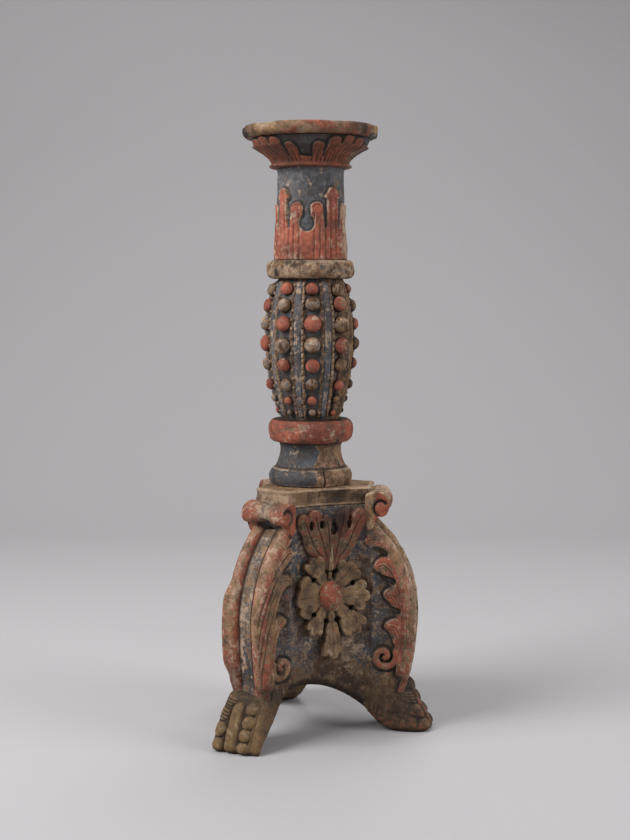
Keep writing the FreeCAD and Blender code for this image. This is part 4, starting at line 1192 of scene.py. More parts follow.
@dataclass
class StemRing(Part):
    """A plain turned ring of the stem, worn and dented; a painted one is red."""

    node: str
    radius: float
    bottom: float
    top: float
    painted: bool
    bulge: float = 11.0
    size: tuple[int, int] = (100, 280)

    def build(self) -> bpy.types.Object:
        """Sculpts the ring.

        Returns:
            The finished piece.
        """
        half = (self.top - self.bottom) / 2.0
        flat = self.radius - self.bulge
        profile = [(CORE, self.bottom)]
        for share in np.linspace(-1.0, 1.0, 41):
            out = (1.0 - abs(share) ** 2.5) ** (1.0 / 2.2)
            profile.append((flat + self.bulge * out, self.bottom + half * (1.0 + share)))
        profile.append((CORE, self.top))
        grid = Round.turned(profile, *self.size)
        crown = ease(flat, self.radius, grid.radius)
        dent = ease(0.25, 0.9, noise(grid.spots, (24.0, 24.0, 12.0), 3, 41)) * crown
        chip = hump(grid.seen, 34, 7) * hump(grid.height, self.bottom + half * 0.7, half * 0.5) * self.painted
        moved = grid.radius + crown * noise(grid.spots, 17.0, 3, 42) * 0.9 - dent * 1.8 - chip * 3.0
        if not self.painted:
            moved = moved - crown * hump(grid.seen, 0, 40) * 1.2
        paint = self.dress(grid, crown, dent, chip)
        slot = Slot.RED if self.painted else Slot.BARE
        return self.tube(self.node, grid.points(np.maximum(moved, CORE)), paint, slot)

    def dress(self, grid: Round, crown: Array, dent: Array, chip: Array) -> Paint:
        """Red with worn ochre crown, or bare grey-brown wood that is paler towards the top with painted light;
        both are darkened at the ends with painted shade.

        Args:
            grid: The ring as turned.
            crown: Where the ring bulges.
            dent: Where it is dented.
            chip: Where it is chipped.

        Returns:
            The layers of paint.
        """
        spots = grid.spots
        patch = noise(spots, 18.0, 3, 43)
        rub = ease(0.1, 0.9, noise(spots, (30.0, 30.0, 7.0), 3, 44)) * crown
        spotty = ease(0.2, 0.6, noise(spots, (9.0, 9.0, 7.0), 3, 47)) * (0.26 if self.painted else 0.5)
        # Both ends of the ring, where it curls in to meet the next pieces, are darkened with painted shade.
        ends = 1.0 - ease(0.0, 0.55, crown)
        paint = Paint(
            crown.shape,
            tone=0.5 + 0.25 * patch,
            grime_and_shade=0.7 * ends + 0.06 + 0.25 * ease(0.2, 0.9, -patch) + spotty,
        )
        if self.painted:
            paint.lay(
                red=0.95 - 0.55 * rub - 0.5 * dent + 0.15 * patch,
                ochre=0.35 * rub + 0.2 * dent,
                gesso=0.30 * dent + 0.5 * chip + (0.13 + 0.26 * patch) * crown,
            )
        else:
            # The bare ring is paler towards the top: a painted top light.
            upper = ease(self.bottom + 18.0, self.top, grid.height)
            paint.lay(
                blue=0.30 + 0.35 * noise(spots, (11.0, 11.0, 8.0), 3, 45),
                ochre=0.34 + 0.2 * rub,
                gesso=0.50 + 0.50 * noise(spots, 7.0, 3, 46) + 0.15 * upper,
                worm=1.0,
            )
        return paint


@dataclass
class Bulb(Part):
    """The bulb: nine bead strings between notched fillets and flat bands."""

    bottom: float = 469.0
    height: float = 208.0
    belly_rise: float = 125.0
    belly: float = 64.0
    foot: float = 42.0
    crown: float = 48.0
    strings: int = 9
    string_turn: float = 250.0
    bead: float = 11.5
    bead_seed: int = 7
    bead_roundness: int = 4
    rubbed_turn: float = 82.0
    fillet_at: float = 12.6
    rows: int = 260
    string_columns: int = 38
    rises: tuple[float, ...] = (0.057, 0.151, 0.257, 0.396, 0.540, 0.680, 0.817, 0.925)
    sizes: tuple[float, ...] = (0.435, 0.543, 0.739, 0.87, 0.978, 1.0, 0.913, 0.826)
    slot = Slot.BLUE

    def ground(self, rise: Array) -> Array:
        """Radius of the bulb's ground at a height over its foot.

        Args:
            rise: Heights over the foot.

        Returns:
            Radii in millimetres.
        """
        below = rise < self.belly_rise
        end = np.where(below, self.foot, self.crown)
        span = np.where(below, self.belly_rise, self.height - self.belly_rise)
        drop = self.belly - end
        bend = (drop * drop + span * span) / (2.0 * drop)
        return self.belly - bend + np.sqrt(bend * bend - (rise - self.belly_rise) ** 2)

    def worn(self, seen: Array) -> Array:
        """How rubbed the right side is."""
        return band(seen, 28, 48, 100, 125)

    def build(self) -> list[bpy.types.Object]:
        """Sculpts the body and strings its beads.

        Returns:
            The body and the beads.
        """
        levels = np.linspace(0.0, self.height, 240)
        profile = [(CORE, self.bottom), *zip(self.ground(levels), levels + self.bottom)]
        profile.append((CORE, self.bottom + self.height))
        grid = Round.turned(profile, self.rows, self.strings * self.string_columns)
        spots, rise = grid.spots, grid.height - self.bottom
        side = repeat_from(grid.turn, self.string_turn, self.strings)
        part = np.abs(side)
        wave = noise(spots, 16.0, 2, 56)
        fillet = dome((part - self.fillet_at + 0.4 * wave) / 2.7)
        ladder = ease(3.2, 2.0, np.abs((rise + 2.0 * wave) % 12.4 - 6.2) - 1.6) * (side > 0)
        ticks = ease(1.4, 0.4, np.abs((rise + part * 0.5 + 2.0 * wave) % 8.6 - 4.3)) * (side < 0) * 0.7
        notch = np.maximum(ladder * ease(2.2, 1.4, np.abs(part - self.fillet_at)), ticks) * fillet
        flat = ease(14.9, 15.7, part)
        live = band(rise, 1.0, 7.0, self.height - 6.0, self.height - 1.0)
        worn = self.worn(grid.seen)
        out = fillet * 5.0 * (1.0 - 0.30 * worn) - notch * 2.8 + flat * 2.8
        out = out + noise(spots, 12.0, 3, 51) * 0.5 - worn * 0.8
        split = 41 + noise(spots, (40.0, 40.0, 25.0), 2, 58) * 2.0
        shake = hump(grid.seen, split, 1.3) * band(rise, 5, 16, 96, 112)
        out = out - shake * 5.0
        paint = self.dress(spots, part, notch, fillet, flat, worn, shake)
        points = grid.points(grid.radius + out * live * (grid.radius > 10))
        return [self.tube("baluster_bulb", points, paint), self.beads()]

    def dress(
        self, spots: Array, part: Array, notch: Array, fillet: Array, flat: Array, worn: Array, shake: Array
    ) -> Paint:
        """Blue-grey bands, brown and white teeth, and painted shade in the hollows behind the beads, in the
        notches and at the foot of each flat band.

        Args:
            spots: Places of the grid, in millimetres.
            part: Angle from the nearest string, in degrees.
            notch: Where a fillet is notched.
            fillet: Where the fillets are.
            flat: Where the flat bands are.
            worn: Where the bulb is rubbed.
            shake: Where the wood has split.

        Returns:
            The layers of paint.
        """
        patch = noise(spots, 17.0, 3, 52)
        teeth = fillet * ease(0.5, 0.0, notch) * (0.16 + 0.35 * noise(spots, 6.0, 2, 53)) * (1.0 - 0.5 * worn)
        # Painted shade behind the beads, in the notches and along the step of each flat band; the split is dark
        # as well.
        dark = most(0.34 * ease(11.0, 6.0, part), notch * 0.42, shake)
        return Paint(
            part.shape,
            blue=(0.74 + 0.28 * patch) * (1.0 - 0.75 * worn) * (1.0 - 0.5 * fillet),
            ochre=fillet * (0.40 + 0.25 * patch) + 0.30 * worn,
            gesso=np.clip(teeth, 0.0, 1.0) + flat * (0.35 + 0.24 * patch) * (1.0 - worn),
            red=0.22 + 0.2 * noise(spots, 15.0, 2, 55),
            tone=0.46 + 0.25 * patch - 0.12 * worn,
            grime_and_shade=dark + 0.08 + 0.3 * hump(part, 15.2, 0.6) + 0.16 * worn * ease(-0.3, 0.6, -patch),
        )

    def beads(self) -> bpy.types.Object:
        """Strings the beads with a node tree and bakes them to one plain mesh.

        Returns:
            The finished piece.
        """
        places, radii, reds, levels = [], [], [], []
        pick = np.random.default_rng(self.bead_seed)
        for string in range(self.strings):
            for number, (share, size) in enumerate(zip(self.rises, self.sizes)):
                turn = self.string_turn + 360.0 / self.strings * string + pick.uniform(-0.9, 0.9)
                angle = math.radians(turn)
                rise = share * self.height + pick.uniform(-1.5, 1.5)
                rubbed = abs(turn_from(math.degrees(angle), VIEWER) - self.rubbed_turn) < 6.0
                reach = float(self.ground(np.array(rise))) + (-1.5 if rubbed else 1.8)
                places.append((reach * math.cos(angle), reach * math.sin(angle), self.bottom + rise))
                radii.append(self.bead * size * pick.uniform(1.00, 1.13) * (0.86 if rubbed else 1.0))
                levels.append(self.bottom + rise)
                reds.append(0.98 if (number + string) % 2 else 0.12)
        points = bpy.data.meshes.new("bead_places")
        points.from_pydata((np.array(places) * MM).tolist(), [], [])
        for name, values in (("bead_radius", np.array(radii) * MM), ("red", reds), ("tone", levels)):
            mark(points, name, np.array(values))
        carrier = show("bead_carrier", points)
        tree = bead_tree()
        modifier = carrier.modifiers.new("beads", "NODES")
        modifier.node_group = tree
        inputs = {"Roundness": self.bead_roundness, "Paint": self.finish}
        for item in tree.interface.items_tree:
            if item.item_type == "SOCKET" and item.in_out == "INPUT" and item.name in inputs:
                modifier[item.identifier] = inputs[item.name]
        graph = bpy.context.evaluated_depsgraph_get()
        mesh = bpy.data.meshes.new_from_object(carrier.evaluated_get(graph))
        carrier.modifiers.clear()
        bpy.data.objects.remove(carrier)
        return self.wear_beads(mesh)

    def wear_beads(self, mesh: bpy.types.Mesh) -> bpy.types.Object:
        """Dents and paints the beads, and ties them to the frame; their tops are paler with worn gesso and a
        painted highlight, their undersides and their feet on the bulb darker with painted shade.

        Args:
            mesh: Round beads, each with its own height as tone.

        Returns:
            The finished piece.
        """
        mesh.name = "bulb_beads"
        count = len(mesh.vertices)

        def read(data: bpy.types.bpy_prop_collection, key: str, size: int) -> Array:
            """Reads one array of a mesh.

            Args:
                data: Points, or an attribute's values.
                key: Which number to read.
                size: How many there are.

            Returns:
                The numbers.
            """
            values = np.zeros(size, np.float32)
            data.foreach_get(key, values)
            return values

        spots = read(mesh.vertices, "co", count * 3).reshape(-1, 3).astype(float) / MM
        red = read(mesh.attributes["red"].data, "value", count)
        level = read(mesh.attributes["tone"].data, "value", count)
        upper = np.clip((spots[:, 2] - level) / self.bead, -1.0, 1.0)
        out = np.hypot(spots[:, 0], spots[:, 1])
        ground = self.ground(np.clip(spots[:, 2] - self.bottom, 0.0, self.height))
        stand = np.clip((out - ground) / self.bead, 0.0, 1.2)
        moved = out + noise(spots, 9.0, 3, 61) * 0.8 - ease(0.8, 1.15, stand) * 1.0
        spots[:, :2] *= (moved / out)[:, None]
        mesh.vertices.foreach_set("co", (spots * MM).astype(np.float32).ravel())
        patch = noise(spots, 10.0, 3, 62)
        worn = self.worn(turn_from(np.degrees(np.arctan2(spots[:, 1], spots[:, 0])), VIEWER))
        paint = Paint(
            (count,),
            red=red * (1.0 - 0.30 * ease(0.85, 1.1, stand)) * (1.0 - 0.35 * worn) + 0.12 * patch,
            ochre=(1.0 - red) * (0.30 + 0.2 * patch),
            blue=(1.0 - red) * (0.46 + 0.2 * patch) * (1.0 - worn),
            # Tops paler (worn gesso and painted highlight); undersides and the feet against the bulb darker
            # (painted shade).
            gesso=0.26 * ease(0.75, 1.05, stand) + 0.20 * patch + 0.28 * ease(0.2, 0.9, upper),
            tone=0.42 + 0.2 * patch,
            grime_and_shade=0.9 * ease(0.6, 0.1, stand) - 0.06 + 0.4 * ease(0.2, 0.95, -upper) + 0.14 * worn,
        )
        for layer in LAYERS:
            mark(mesh, layer, paint[layer])
        mesh.attributes.remove(mesh.attributes["bead_radius"])
        smooth(mesh)
        mesh.update()
        return self.tie(show("bulb_beads", mesh), "baluster_bulb", Slot.RED)


def bead_tree() -> bpy.types.NodeTree:
    """Node tree that sets a ball of its own size on every point.

    Returns:
        The tree, with the inputs Geometry, Roundness and Paint.
    """
    tree = bpy.data.node_groups.new("bead_string", "GeometryNodeTree")
    for name, way, kind in (
        ("Geometry", "INPUT", "Geometry"),
        ("Roundness", "INPUT", "Int"),
        ("Paint", "INPUT", "Material"),
        ("Geometry", "OUTPUT", "Geometry"),
    ):
        tree.interface.new_socket(name, in_out=way, socket_type=f"NodeSocket{kind}")
    kinds = {
        "in": "NodeGroupInput",
        "ball": "GeometryNodeMeshIcoSphere",
        "size": "GeometryNodeInputNamedAttribute",
        "string": "GeometryNodeInstanceOnPoints",
        "real": "GeometryNodeRealizeInstances",
        "paint": "GeometryNodeSetMaterial",
        "out": "NodeGroupOutput",
    }
    made = {key: tree.nodes.new(kind) for key, kind in kinds.items()}
    made["size"].data_type = "FLOAT"
    made["size"].inputs["Name"].default_value = "bead_radius"
    made["ball"].inputs["Radius"].default_value = 1.0
    for start, output, end, entry in (
        ("in", "Geometry", "string", "Points"),
        ("in", "Roundness", "ball", "Subdivisions"),
        ("ball", "Mesh", "string", "Instance"),
        ("size", "Attribute", "string", "Scale"),
        ("string", "Instances", "real", "Geometry"),
        ("real", "Geometry", "paint", "Geometry"),
        ("in", "Paint", "paint", "Material"),
        ("paint", "Geometry", "out", "Geometry"),
    ):
        tree.links.new(made[start].outputs[output], made[end].inputs[entry])
    return tree


@dataclass
class StemFoot(Part):
    """The stem's moulded foot: a round moulding, a white-edged step and a hollow waist."""

    bottom: float = 371.0
    top: float = 435.0
    size: tuple[int, int] = (150, 280)
    slot = Slot.BLUE

    def build(self) -> bpy.types.Object:
        """Sculpts the foot.

        Returns:
            The finished piece.
        """
        low = self.bottom
        profile = [(CORE, low), (57.5, low), (60.5, low + 2)]
        for share in np.linspace(0.05, 0.95, 14):
            profile.append((59.5 + 3.4 * math.sin(math.pi * share), low + 2 + 20 * share))
        profile += [(57.6, low + 23.6), (56.5, low + 25.2), (54.0, low + 25.8)]
        for share in np.linspace(0.0, 1.0, 18):
            profile.append((45.5 + 8.0 * (1.0 - share) ** 2.1, low + 26.5 + 26.5 * share))
        profile += [(45.6, low + 57), (47.2, self.top - 3), (47.6, self.top), (CORE, self.top)]
        grid = Round.turned(profile, *self.size)
        spots, seen, rise = grid.spots, grid.seen, grid.height - low
        skin = ease(30.0, 44.0, grid.radius)
        bulge = ease(27, 22, rise)
        bare = ease(4, 20, seen + 8.0 * noise(spots, 22.0, 2, 71)) * ease(150, 120, seen)
        crack = hump(seen, 19 + noise(spots, (30.0, 30.0, 14.0), 2, 72) * 1.5, 0.9) * bulge
        flaked = bare * bulge * (0.8 + 0.8 * noise(spots, (9.0, 9.0, 60.0), 2, 74))
        out = noise(spots, 14.0, 3, 73) * 0.6 - flaked - crack * 4.0
        paint = self.dress(spots, rise, bare, crack)
        return self.tube("stem_foot", grid.points(grid.radius + out * skin), paint)

    def dress(self, spots: Array, rise: Array, bare: Array, crack: Array) -> Paint:
        """Dark blue at the left, brown bare wood at the right, a white step, and painted shade in the corner
        above the step and under the ring at the top.

        Args:
            spots: Places of the grid, in millimetres.
            rise: Heights over the bottom.
            bare: Where the paint is lost.
            crack: The crack.

        Returns:
            The layers of paint.
        """
        patch = noise(spots, 18.0, 3, 75)
        step = hump(rise, 24.6, 1.6)
        fleck = 0.18 + 0.25 * noise(spots, 12.0, 3, 77)
        return Paint(
            rise.shape,
            blue=(0.88 + 0.28 * patch) * (1.0 - 0.85 * bare),
            gesso=step * (0.75 + 0.3 * patch) + fleck * (1.0 - step),
            ochre=bare * (0.35 + 0.3 * patch),
            red=bare * (0.30 + 0.25 * noise(spots, 15.0, 2, 76)),
            tone=0.42 + 0.25 * patch,
            # Painted shade in the corner just above the step and under the overhanging ring at the top; the
            # crack is dark too.
            grime_and_shade=np.maximum(crack, hump(rise, 27.0, 1.8) * 0.55) + 0.5 * ease(58, 64, rise) + 0.12,
        )


@dataclass
class Slab(Part):
    """Three-cornered slab with hollow sides, soft worn arrises and a stain."""

    bottom: float = 345.0
    thick: float = 26.0
    reach: float = 93.0
    corner: float = 62.0
    hollow: float = 280.0
    columns: int = 420

    def edge(self) -> Array:
        """Points round the slab's outline.

        Returns:
            Points (x, y), counter-clockwise.
        """
        line = []
        half = self.corner / 2.0
        cosine, sine = math.cos(math.pi / 3), math.sin(math.pi / 3)
        ends, wide = self.reach * cosine + half * sine, self.reach * sine - half * cosine
        deep = math.sqrt(self.hollow**2 - wide**2)
        sides = np.linspace(-half, half, 12)
        hollows = np.linspace(-wide, wide, 40)[1:-1]
        rims = ends - (np.sqrt(self.hollow**2 - hollows**2) - deep)
        for leg in sorted(LEGS.values()):
            for turn, out, across in ((leg, np.full(12, self.reach), sides), (leg + 60.0, rims, hollows)):
                c, s = math.cos(math.radians(turn)), math.sin(math.radians(turn))
                line.append(np.stack([out * c - across * s, out * s + across * c], axis=-1))
        return walk(np.concatenate([*line, line[0][:1]]), self.columns, closed=True)

    def build(self) -> bpy.types.Object:
        """Sculpts the slab.

        Returns:
            The finished piece.
        """
        x, y = self.edge().T
        low, high = self.bottom, self.bottom + self.thick
        rows = [(0.03, low), (0.5, low), (0.9, low), (0.97, low)]
        for bend in np.linspace(0, math.pi / 2, 5):
            rows.append((0.985 + 0.015 * math.sin(bend), low + 2.0 * (1 - math.cos(bend))))
        rows += [(1.0, level) for level in np.linspace(low + 3, high - 4, 24)]
        for bend in np.linspace(0.15, math.pi / 2, 9):
            rows.append((1.0 - 0.045 * (1 - math.cos(bend)), high - 4.0 + 4.0 * math.sin(bend)))
        rows += [(share, high) for share in np.linspace(0.94, 0.03, 26)]
        scale, level = np.hsplit(np.array(rows), 2)
        shape = (len(rows), self.columns)
        turn = np.broadcast_to(np.degrees(np.arctan2(y, x)), shape)
        grid = Round(scale * np.hypot(x, y), np.broadcast_to(level, shape), turn)
        spots = grid.spots
        wall = np.broadcast_to(ease(0.942, 0.960, scale), shape)
        top = ease(high - 5.0, high - 0.5, level)
        chip = ease(0.2, 0.8, noise(spots, (20.0, 20.0, 9.0), 3, 81)) * wall
        line = np.abs(noise(spots, (60.0, 60.0, 5.0), 2, 85))
        fillet = hump(level, high - 2.6, 1.6) + hump(level, low + 2.8, 1.6)
        rough = noise(spots, 15.0, 3, 82) * 0.9 + fillet * 1.1 - ease(0.08, 0.0, line) * 0.8
        radius = grid.radius + wall * rough - chip * 2.2
        height = grid.height + top * (noise(spots, 22.0, 3, 83) * 0.7 - 0.6 * chip)
        return self.tube("plinth_slab", grid.points(radius, height), self.dress(grid, wall, chip, height))

    def dress(self, grid: Round, wall: Array, chip: Array, height: Array) -> Paint:
        """Grey-tan wood with white arrises that are partly worn and partly a painted highlight, blue-white
        corners, a dark stain and painted shade along the bottom edge.

        Args:
            grid: The slab before wear.
            wall: Where the sides are.
            chip: Where they are chipped.
            height: Heights as worn.

        Returns:
            The layers of paint.
        """
        spots = grid.spots
        patch = noise(spots, 24.0, 3, 84)
        corner = sum(ease(24, 16, np.abs(turn_from(grid.turn, leg))) for leg in LEGS.values())
        low, high = self.bottom, self.bottom + self.thick
        # White arrises: worn gesso and a painted highlight where the edges catch the light.
        arris = (hump(height, high - 1.8, 1.7) + hump(height, low + 2.4, 1.5)) * wall
        pale = np.clip(arris, 0.0, 1.0)
        stain = hump(grid.seen, 36, 15) * wall * ease(-0.6, 0.4, noise(spots, 20.0, 2, 86))
        # Painted shade along the slab's bottom edge.
        under = ease(low + 1.2, low + 0.2, height)
        dark = np.maximum(0.55 * stain * (1.0 - 0.6 * pale), 0.5 * under)
        plain = wall * (1.0 - pale) * (1.0 - corner)
        return Paint(
            wall.shape,
            gesso=arris * (1.05 + 0.3 * patch) + 0.42 * corner * wall + 0.20 + 0.15 * patch,
            blue=0.48 * corner * wall + 0.2 + 0.2 * patch,
            ochre=0.42 + 0.25 * patch,
            tone=0.5 + 0.25 * patch + 0.2 * chip,
            grime_and_shade=dark + 0.08 + 0.25 * ease(0.1, 0.8, -patch) + 0.16 * plain,
        )


@dataclass
class Sided(Part):
    """A piece of the base that looks outwards from the stem's axis in a direction of its own."""

    side: str
    degrees: float

    @property
    def short(self) -> bool:
        """True for the leg on the short, steep paw."""
        return self.side == SHORT_LEG

    def spread(self, out: Array, across: Array, height: Array) -> Array:
        """Points from the piece's own directions: outwards, sideways and up.

        Args:
            out: Distances outwards.
            across: Distances sideways.
            height: Heights.

        Returns:
            Points in the frame, in millimetres.
        """
        angle = math.radians(self.degrees)
        c, s = math.cos(angle), math.sin(angle)
        return np.stack([out * c - across * s, out * s + across * c, height], axis=-1)


@dataclass
class Section:
    """Half a console as a grid: rows up its outside curve, columns from its middle round to the core.

    Attributes:
        reach: Distance from the stem axis.
        height: Height above the floor.
        across: Distance from the console's middle plane.
        depth: Distance in from the outside curve.
        arc: Distance round from the rib's crest towards the flank.
        zone: Valley, rib or flank.
        foot: How far the section is the plain one of the ankle.
    """

    reach: Array
    height: Array
    across: Array
    depth: Array
    arc: Array
    zone: Array
    foot: Array


@dataclass
class Console(Sided):
    """A C-scroll leg: two ribs and a hollow outside, an acanthus leaf on each flank, and a roll on top."""

    half_width: float = 36.0
    belly: tuple[float, float] = (162.0, 178.0)
    ankle: tuple[float, float] = (148.0, 60.0)
    throat: tuple[float, float] = (99.0, 317.0)
    ankle_half_width: float = 33.6
    rib: float = 12.7
    rib_turn: float = 158.0
    valley: float = 8.0
    curl_at: tuple[float, float] = (114.6, 116.0)
    rows: tuple[int, int] = (110, 130)
    columns: tuple[int, int, int] = (10, 24, 61)
    slot = Slot.RED_BLUE

    @property
    def middle(self) -> float:
        """Distance of a rib's own middle from the console's."""
        return self.half_width - self.rib

    @property
    def valley_edge(self) -> float:
        """Half width of the hollow between the ribs."""
        return self.middle + self.rib * math.cos(math.radians(self.rib_turn))

    def spine(self) -> tuple[Array, Array, Array, Array]:
        """Outside curve: reach, height and inward direction, per row.

        Returns:
            Reach, height, and the run and rise of a step inwards.
        """
        reach, height = self.belly
        low_run, low_rise = reach - self.ankle[0], height - self.ankle[1]
        high_run, high_rise = reach - self.throat[0], self.throat[1] - height
        low = (low_run**2 + low_rise**2) / (2.0 * low_run)
        high = (high_run**2 + high_rise**2) / (2.0 * high_run)
        # Both ends run on a little, into the paw and under the roll.
        first = np.linspace(-math.asin((low_rise + 2.0) / low), 0.0, self.rows[0], endpoint=False)
        last = np.linspace(0.0, math.asin(high_rise / high) * 1.02, self.rows[1])
        bend = np.repeat([low, high], [first.size, last.size])
        angle = np.concatenate([first, last])
        cosine, sine = np.cos(angle), np.sin(angle)
        return reach - bend + bend * cosine, height + bend * sine, -cosine, -sine

    def section(self) -> Section:
        """Lays the half section along the outside curve.

        Returns:
            The half console.
        """
        reach, height, inward, down = (value[:, None] for value in self.spine())
        if self.short:
            inner = np.interp(height, [58.0, 66.0, 75.0, 92.0, 120.0], [112.0, 106.0, 100.0, 94.0, 86.0])
        else:
            inner = np.interp(height, [58.0, 120.0], [92.0, 86.0])
        limit = np.clip((reach - inner) / np.maximum(-inward, 0.2), 13.0, None)
        bend = np.radians(np.linspace(self.rib_turn, 0.0, self.columns[Zone.RIB]))
        valley = np.linspace(0.0, self.valley_edge, self.columns[Zone.VALLEY], endpoint=False)
        share = np.linspace(0.0, 1.0, self.columns[Zone.FLANK] + 1)[1:]
        crest = self.middle + self.rib * np.cos(bend)
        across = np.concatenate([valley, crest, np.full(share.shape, self.half_width)])
        floor = self.valley - 0.9 * (valley / valley[-1]) ** 2
        outside = np.concatenate([floor, self.rib * (1.0 - np.sin(bend))])
        foot = ease(97.0, 76.0, height)
        plain = 2.0 + 9.5 * ease(24.0, 36.0, across[: outside.size]) ** 1.5
        flank = self.rib + (limit - self.rib) * share
        depth = np.concatenate([outside * (1.0 - foot) + plain * foot, flank], axis=1)
        near = np.concatenate([np.full(valley.shape, -FAR), self.rib * (math.pi / 2 - bend)])
        near = np.broadcast_to(near, (len(reach), near.size))
        zone = np.repeat(list(Zone), self.columns)
        return Section(
            reach=reach + depth * inward,
            height=height + depth * down,
            across=across * (1.0 - foot) + np.minimum(across, self.ankle_half_width) * foot,
            depth=depth,
            arc=np.concatenate([near, self.rib * (math.pi / 2 - 1.0) + flank], axis=1),
            zone=np.broadcast_to(zone, depth.shape),
            foot=foot,
        )

    def leaf(self, grid: Section, strands: tuple) -> tuple[Array, Array, Array]:
        """Carved leaf of one flank.

        Args:
            grid: The half console.
            strands: Paths of the leaf's lobes.

        Returns:
            Distance outside the leaf, carved lines, and how far its lobes swell.
        """
        reach, height = grid.reach, grid.height
        gap = grid.depth - 12.0
        swell = 0.55 * ease(4.0, -4.0, gap)
        lines = np.zeros(reach.shape)
        for strand in strands:
            path = trail(strand)
            bar = ribbon(reach, height, path)
            wide = ribbon(reach, height, [(*spot[:2], 0.0) for spot in path])
            full = np.maximum(wide - bar, 3.0)
            swell = np.maximum(swell, dome(np.clip(1.0 + bar / full, 0.0, 1.0)))
            vein = hump(wide, 0.0, 0.9) * ease(-1.0, -4.0, bar)
            lines = most(lines, vein, hump(wide, 4.6, 0.8) * ease(-1.5, -4.0, bar) * 0.8)
            gap = np.minimum(gap, bar)
        for start, end in FOUR_PITS if strands is FOUR_LOBES else ():
            gap = np.maximum(gap, -capsule(reach, height, start, end, *PIT_RADII))
        turn = ribbon(reach, height, curl(self.curl_at, 19.5, 3.0, 20.0, 1.2, (5.6, 5.0)))
        swell = np.maximum(swell, dome(np.clip(1.0 + turn / 5.0, 0.0, 1.0)))
        eye = np.hypot(reach - self.curl_at[0], height - self.curl_at[1])
        return np.minimum(gap, turn), lines * ease(20.0, 27.0, eye), swell

    def strokes(self, arc: Array, height: Array) -> Array:
        """Carved lines that sweep up from the rib's crest and out over the leaf, 0 to 1.

        Args:
            arc: Distance round from the crest.
            height: Heights.

        Returns:
            Depth of the lines.
        """
        total = np.zeros(arc.shape)
        for start in (82.0, 112.0, 142.0, 172.0):
            path = 5.0 + 27.0 * np.clip((height - start) / 120.0, 0.0, 1.0) ** 1.4
            run = band(height, start, start + 16.0, start + 104.0, start + 126.0)
            total = np.maximum(total, hump(arc, path, 1.2) * run)
        return total

    def build(self) -> bpy.types.Object:
        """Sculpts the console and its roll.

        Returns:
            The finished piece.
        """
        grid = self.section()
        (left, one), (right, other) = (self.half(grid, sign) for sign in (1.0, -1.0))

        def join(first: Array, second: Array) -> Array:
            """Closes the ring, with the middle column once."""
            return np.concatenate([first, second[:, :0:-1]], axis=1)

        points = join(left, right)
        paint = Paint(points.shape[:2], **{layer: join(one[layer], other[layer]) for layer in LAYERS})
        sculpt = Sculpt(f"console_{self.side}")
        sculpt.tube(points, paint)
        self.roll(sculpt)
        return self.settle(sculpt)

    def half(self, grid: Section, sign: float) -> tuple[Array, Paint]:
        """Carves and paints the half on one side; the short leg's two sides differ.

        Args:
            grid: The half console.
            sign: 1 or -1, the side.

        Returns:
            Points and paint.
        """
        reach, height, across, depth = grid.reach, grid.height, grid.across, grid.depth
        near, far = self.short and sign > 0, self.short and sign < 0
        gap, lines, swell = self.leaf(grid, THREE_LOBES if near else FOUR_LOBES)
        spots = self.spread(reach, across * sign, height)
        inside = ease(0.5, -1.8, gap + noise(spots, 14.0, 3, 91) * 0.6)
        rib, flank = grid.zone == Zone.RIB, grid.zone == Zone.FLANK
        edge = flank * ease(self.rib, self.rib + 9.0, depth)
        carve = edge * ((inside - 1.0) * 6.0 + inside * (swell * 4.6 - 2.4)) - lines * edge * inside * 1.3
        sweep = 8.6 * ease(122.0, 96.0, reach) ** 1.5 - 9.0 * ease(96.0, 88.0, reach)
        sweep = sweep * band(height, 66.0, 104.0, 292.0, 312.0)
        bulge = sweep * (1.0 - inside) + 1.2 * inside * ease(118.0, 98.0, reach)
        carve = carve * (1.0 - 0.85 * grid.foot) + flank * bulge + noise(spots, 10.0, 3, 92) * 0.5
        if far:
            torn = band(height, 96.0, 128.0, 214.0, 246.0)
            across = across + 6.0 * torn * ease(self.middle, self.half_width, across) * ease(34.0, 20.0, depth)
            over = ease(self.middle + 4.0, self.half_width, across)
            reach = reach + 4.5 * torn * over * ease(20.0, 11.0, depth)
        swept = self.strokes(grid.arc, height) if near else np.zeros(reach.shape)
        worn = noise(spots, 22.0, 3, 93) * 0.6 + noise(spots, 7.0, 2, 94) * 0.25
        out = np.where(flank, 0.0, worn) - 1.1 * swept * rib
        side_cut = np.where(flank, carve, 0.0) - 1.1 * swept
        spots = self.spread(reach + out, (across + side_cut) * sign, height)
        grid = replace(grid, reach=reach, across=across)
        paint = self.dress(grid, spots, gap, inside, lines, sign)
        # Painted shade in the swept strokes.
        paint["grime_and_shade"] = paint["grime_and_shade"] + 0.4 * swept
        if near:
            paint["red"] = paint["red"] - 0.12 * (grid.arc > 3.0) * rib
        return spots, paint

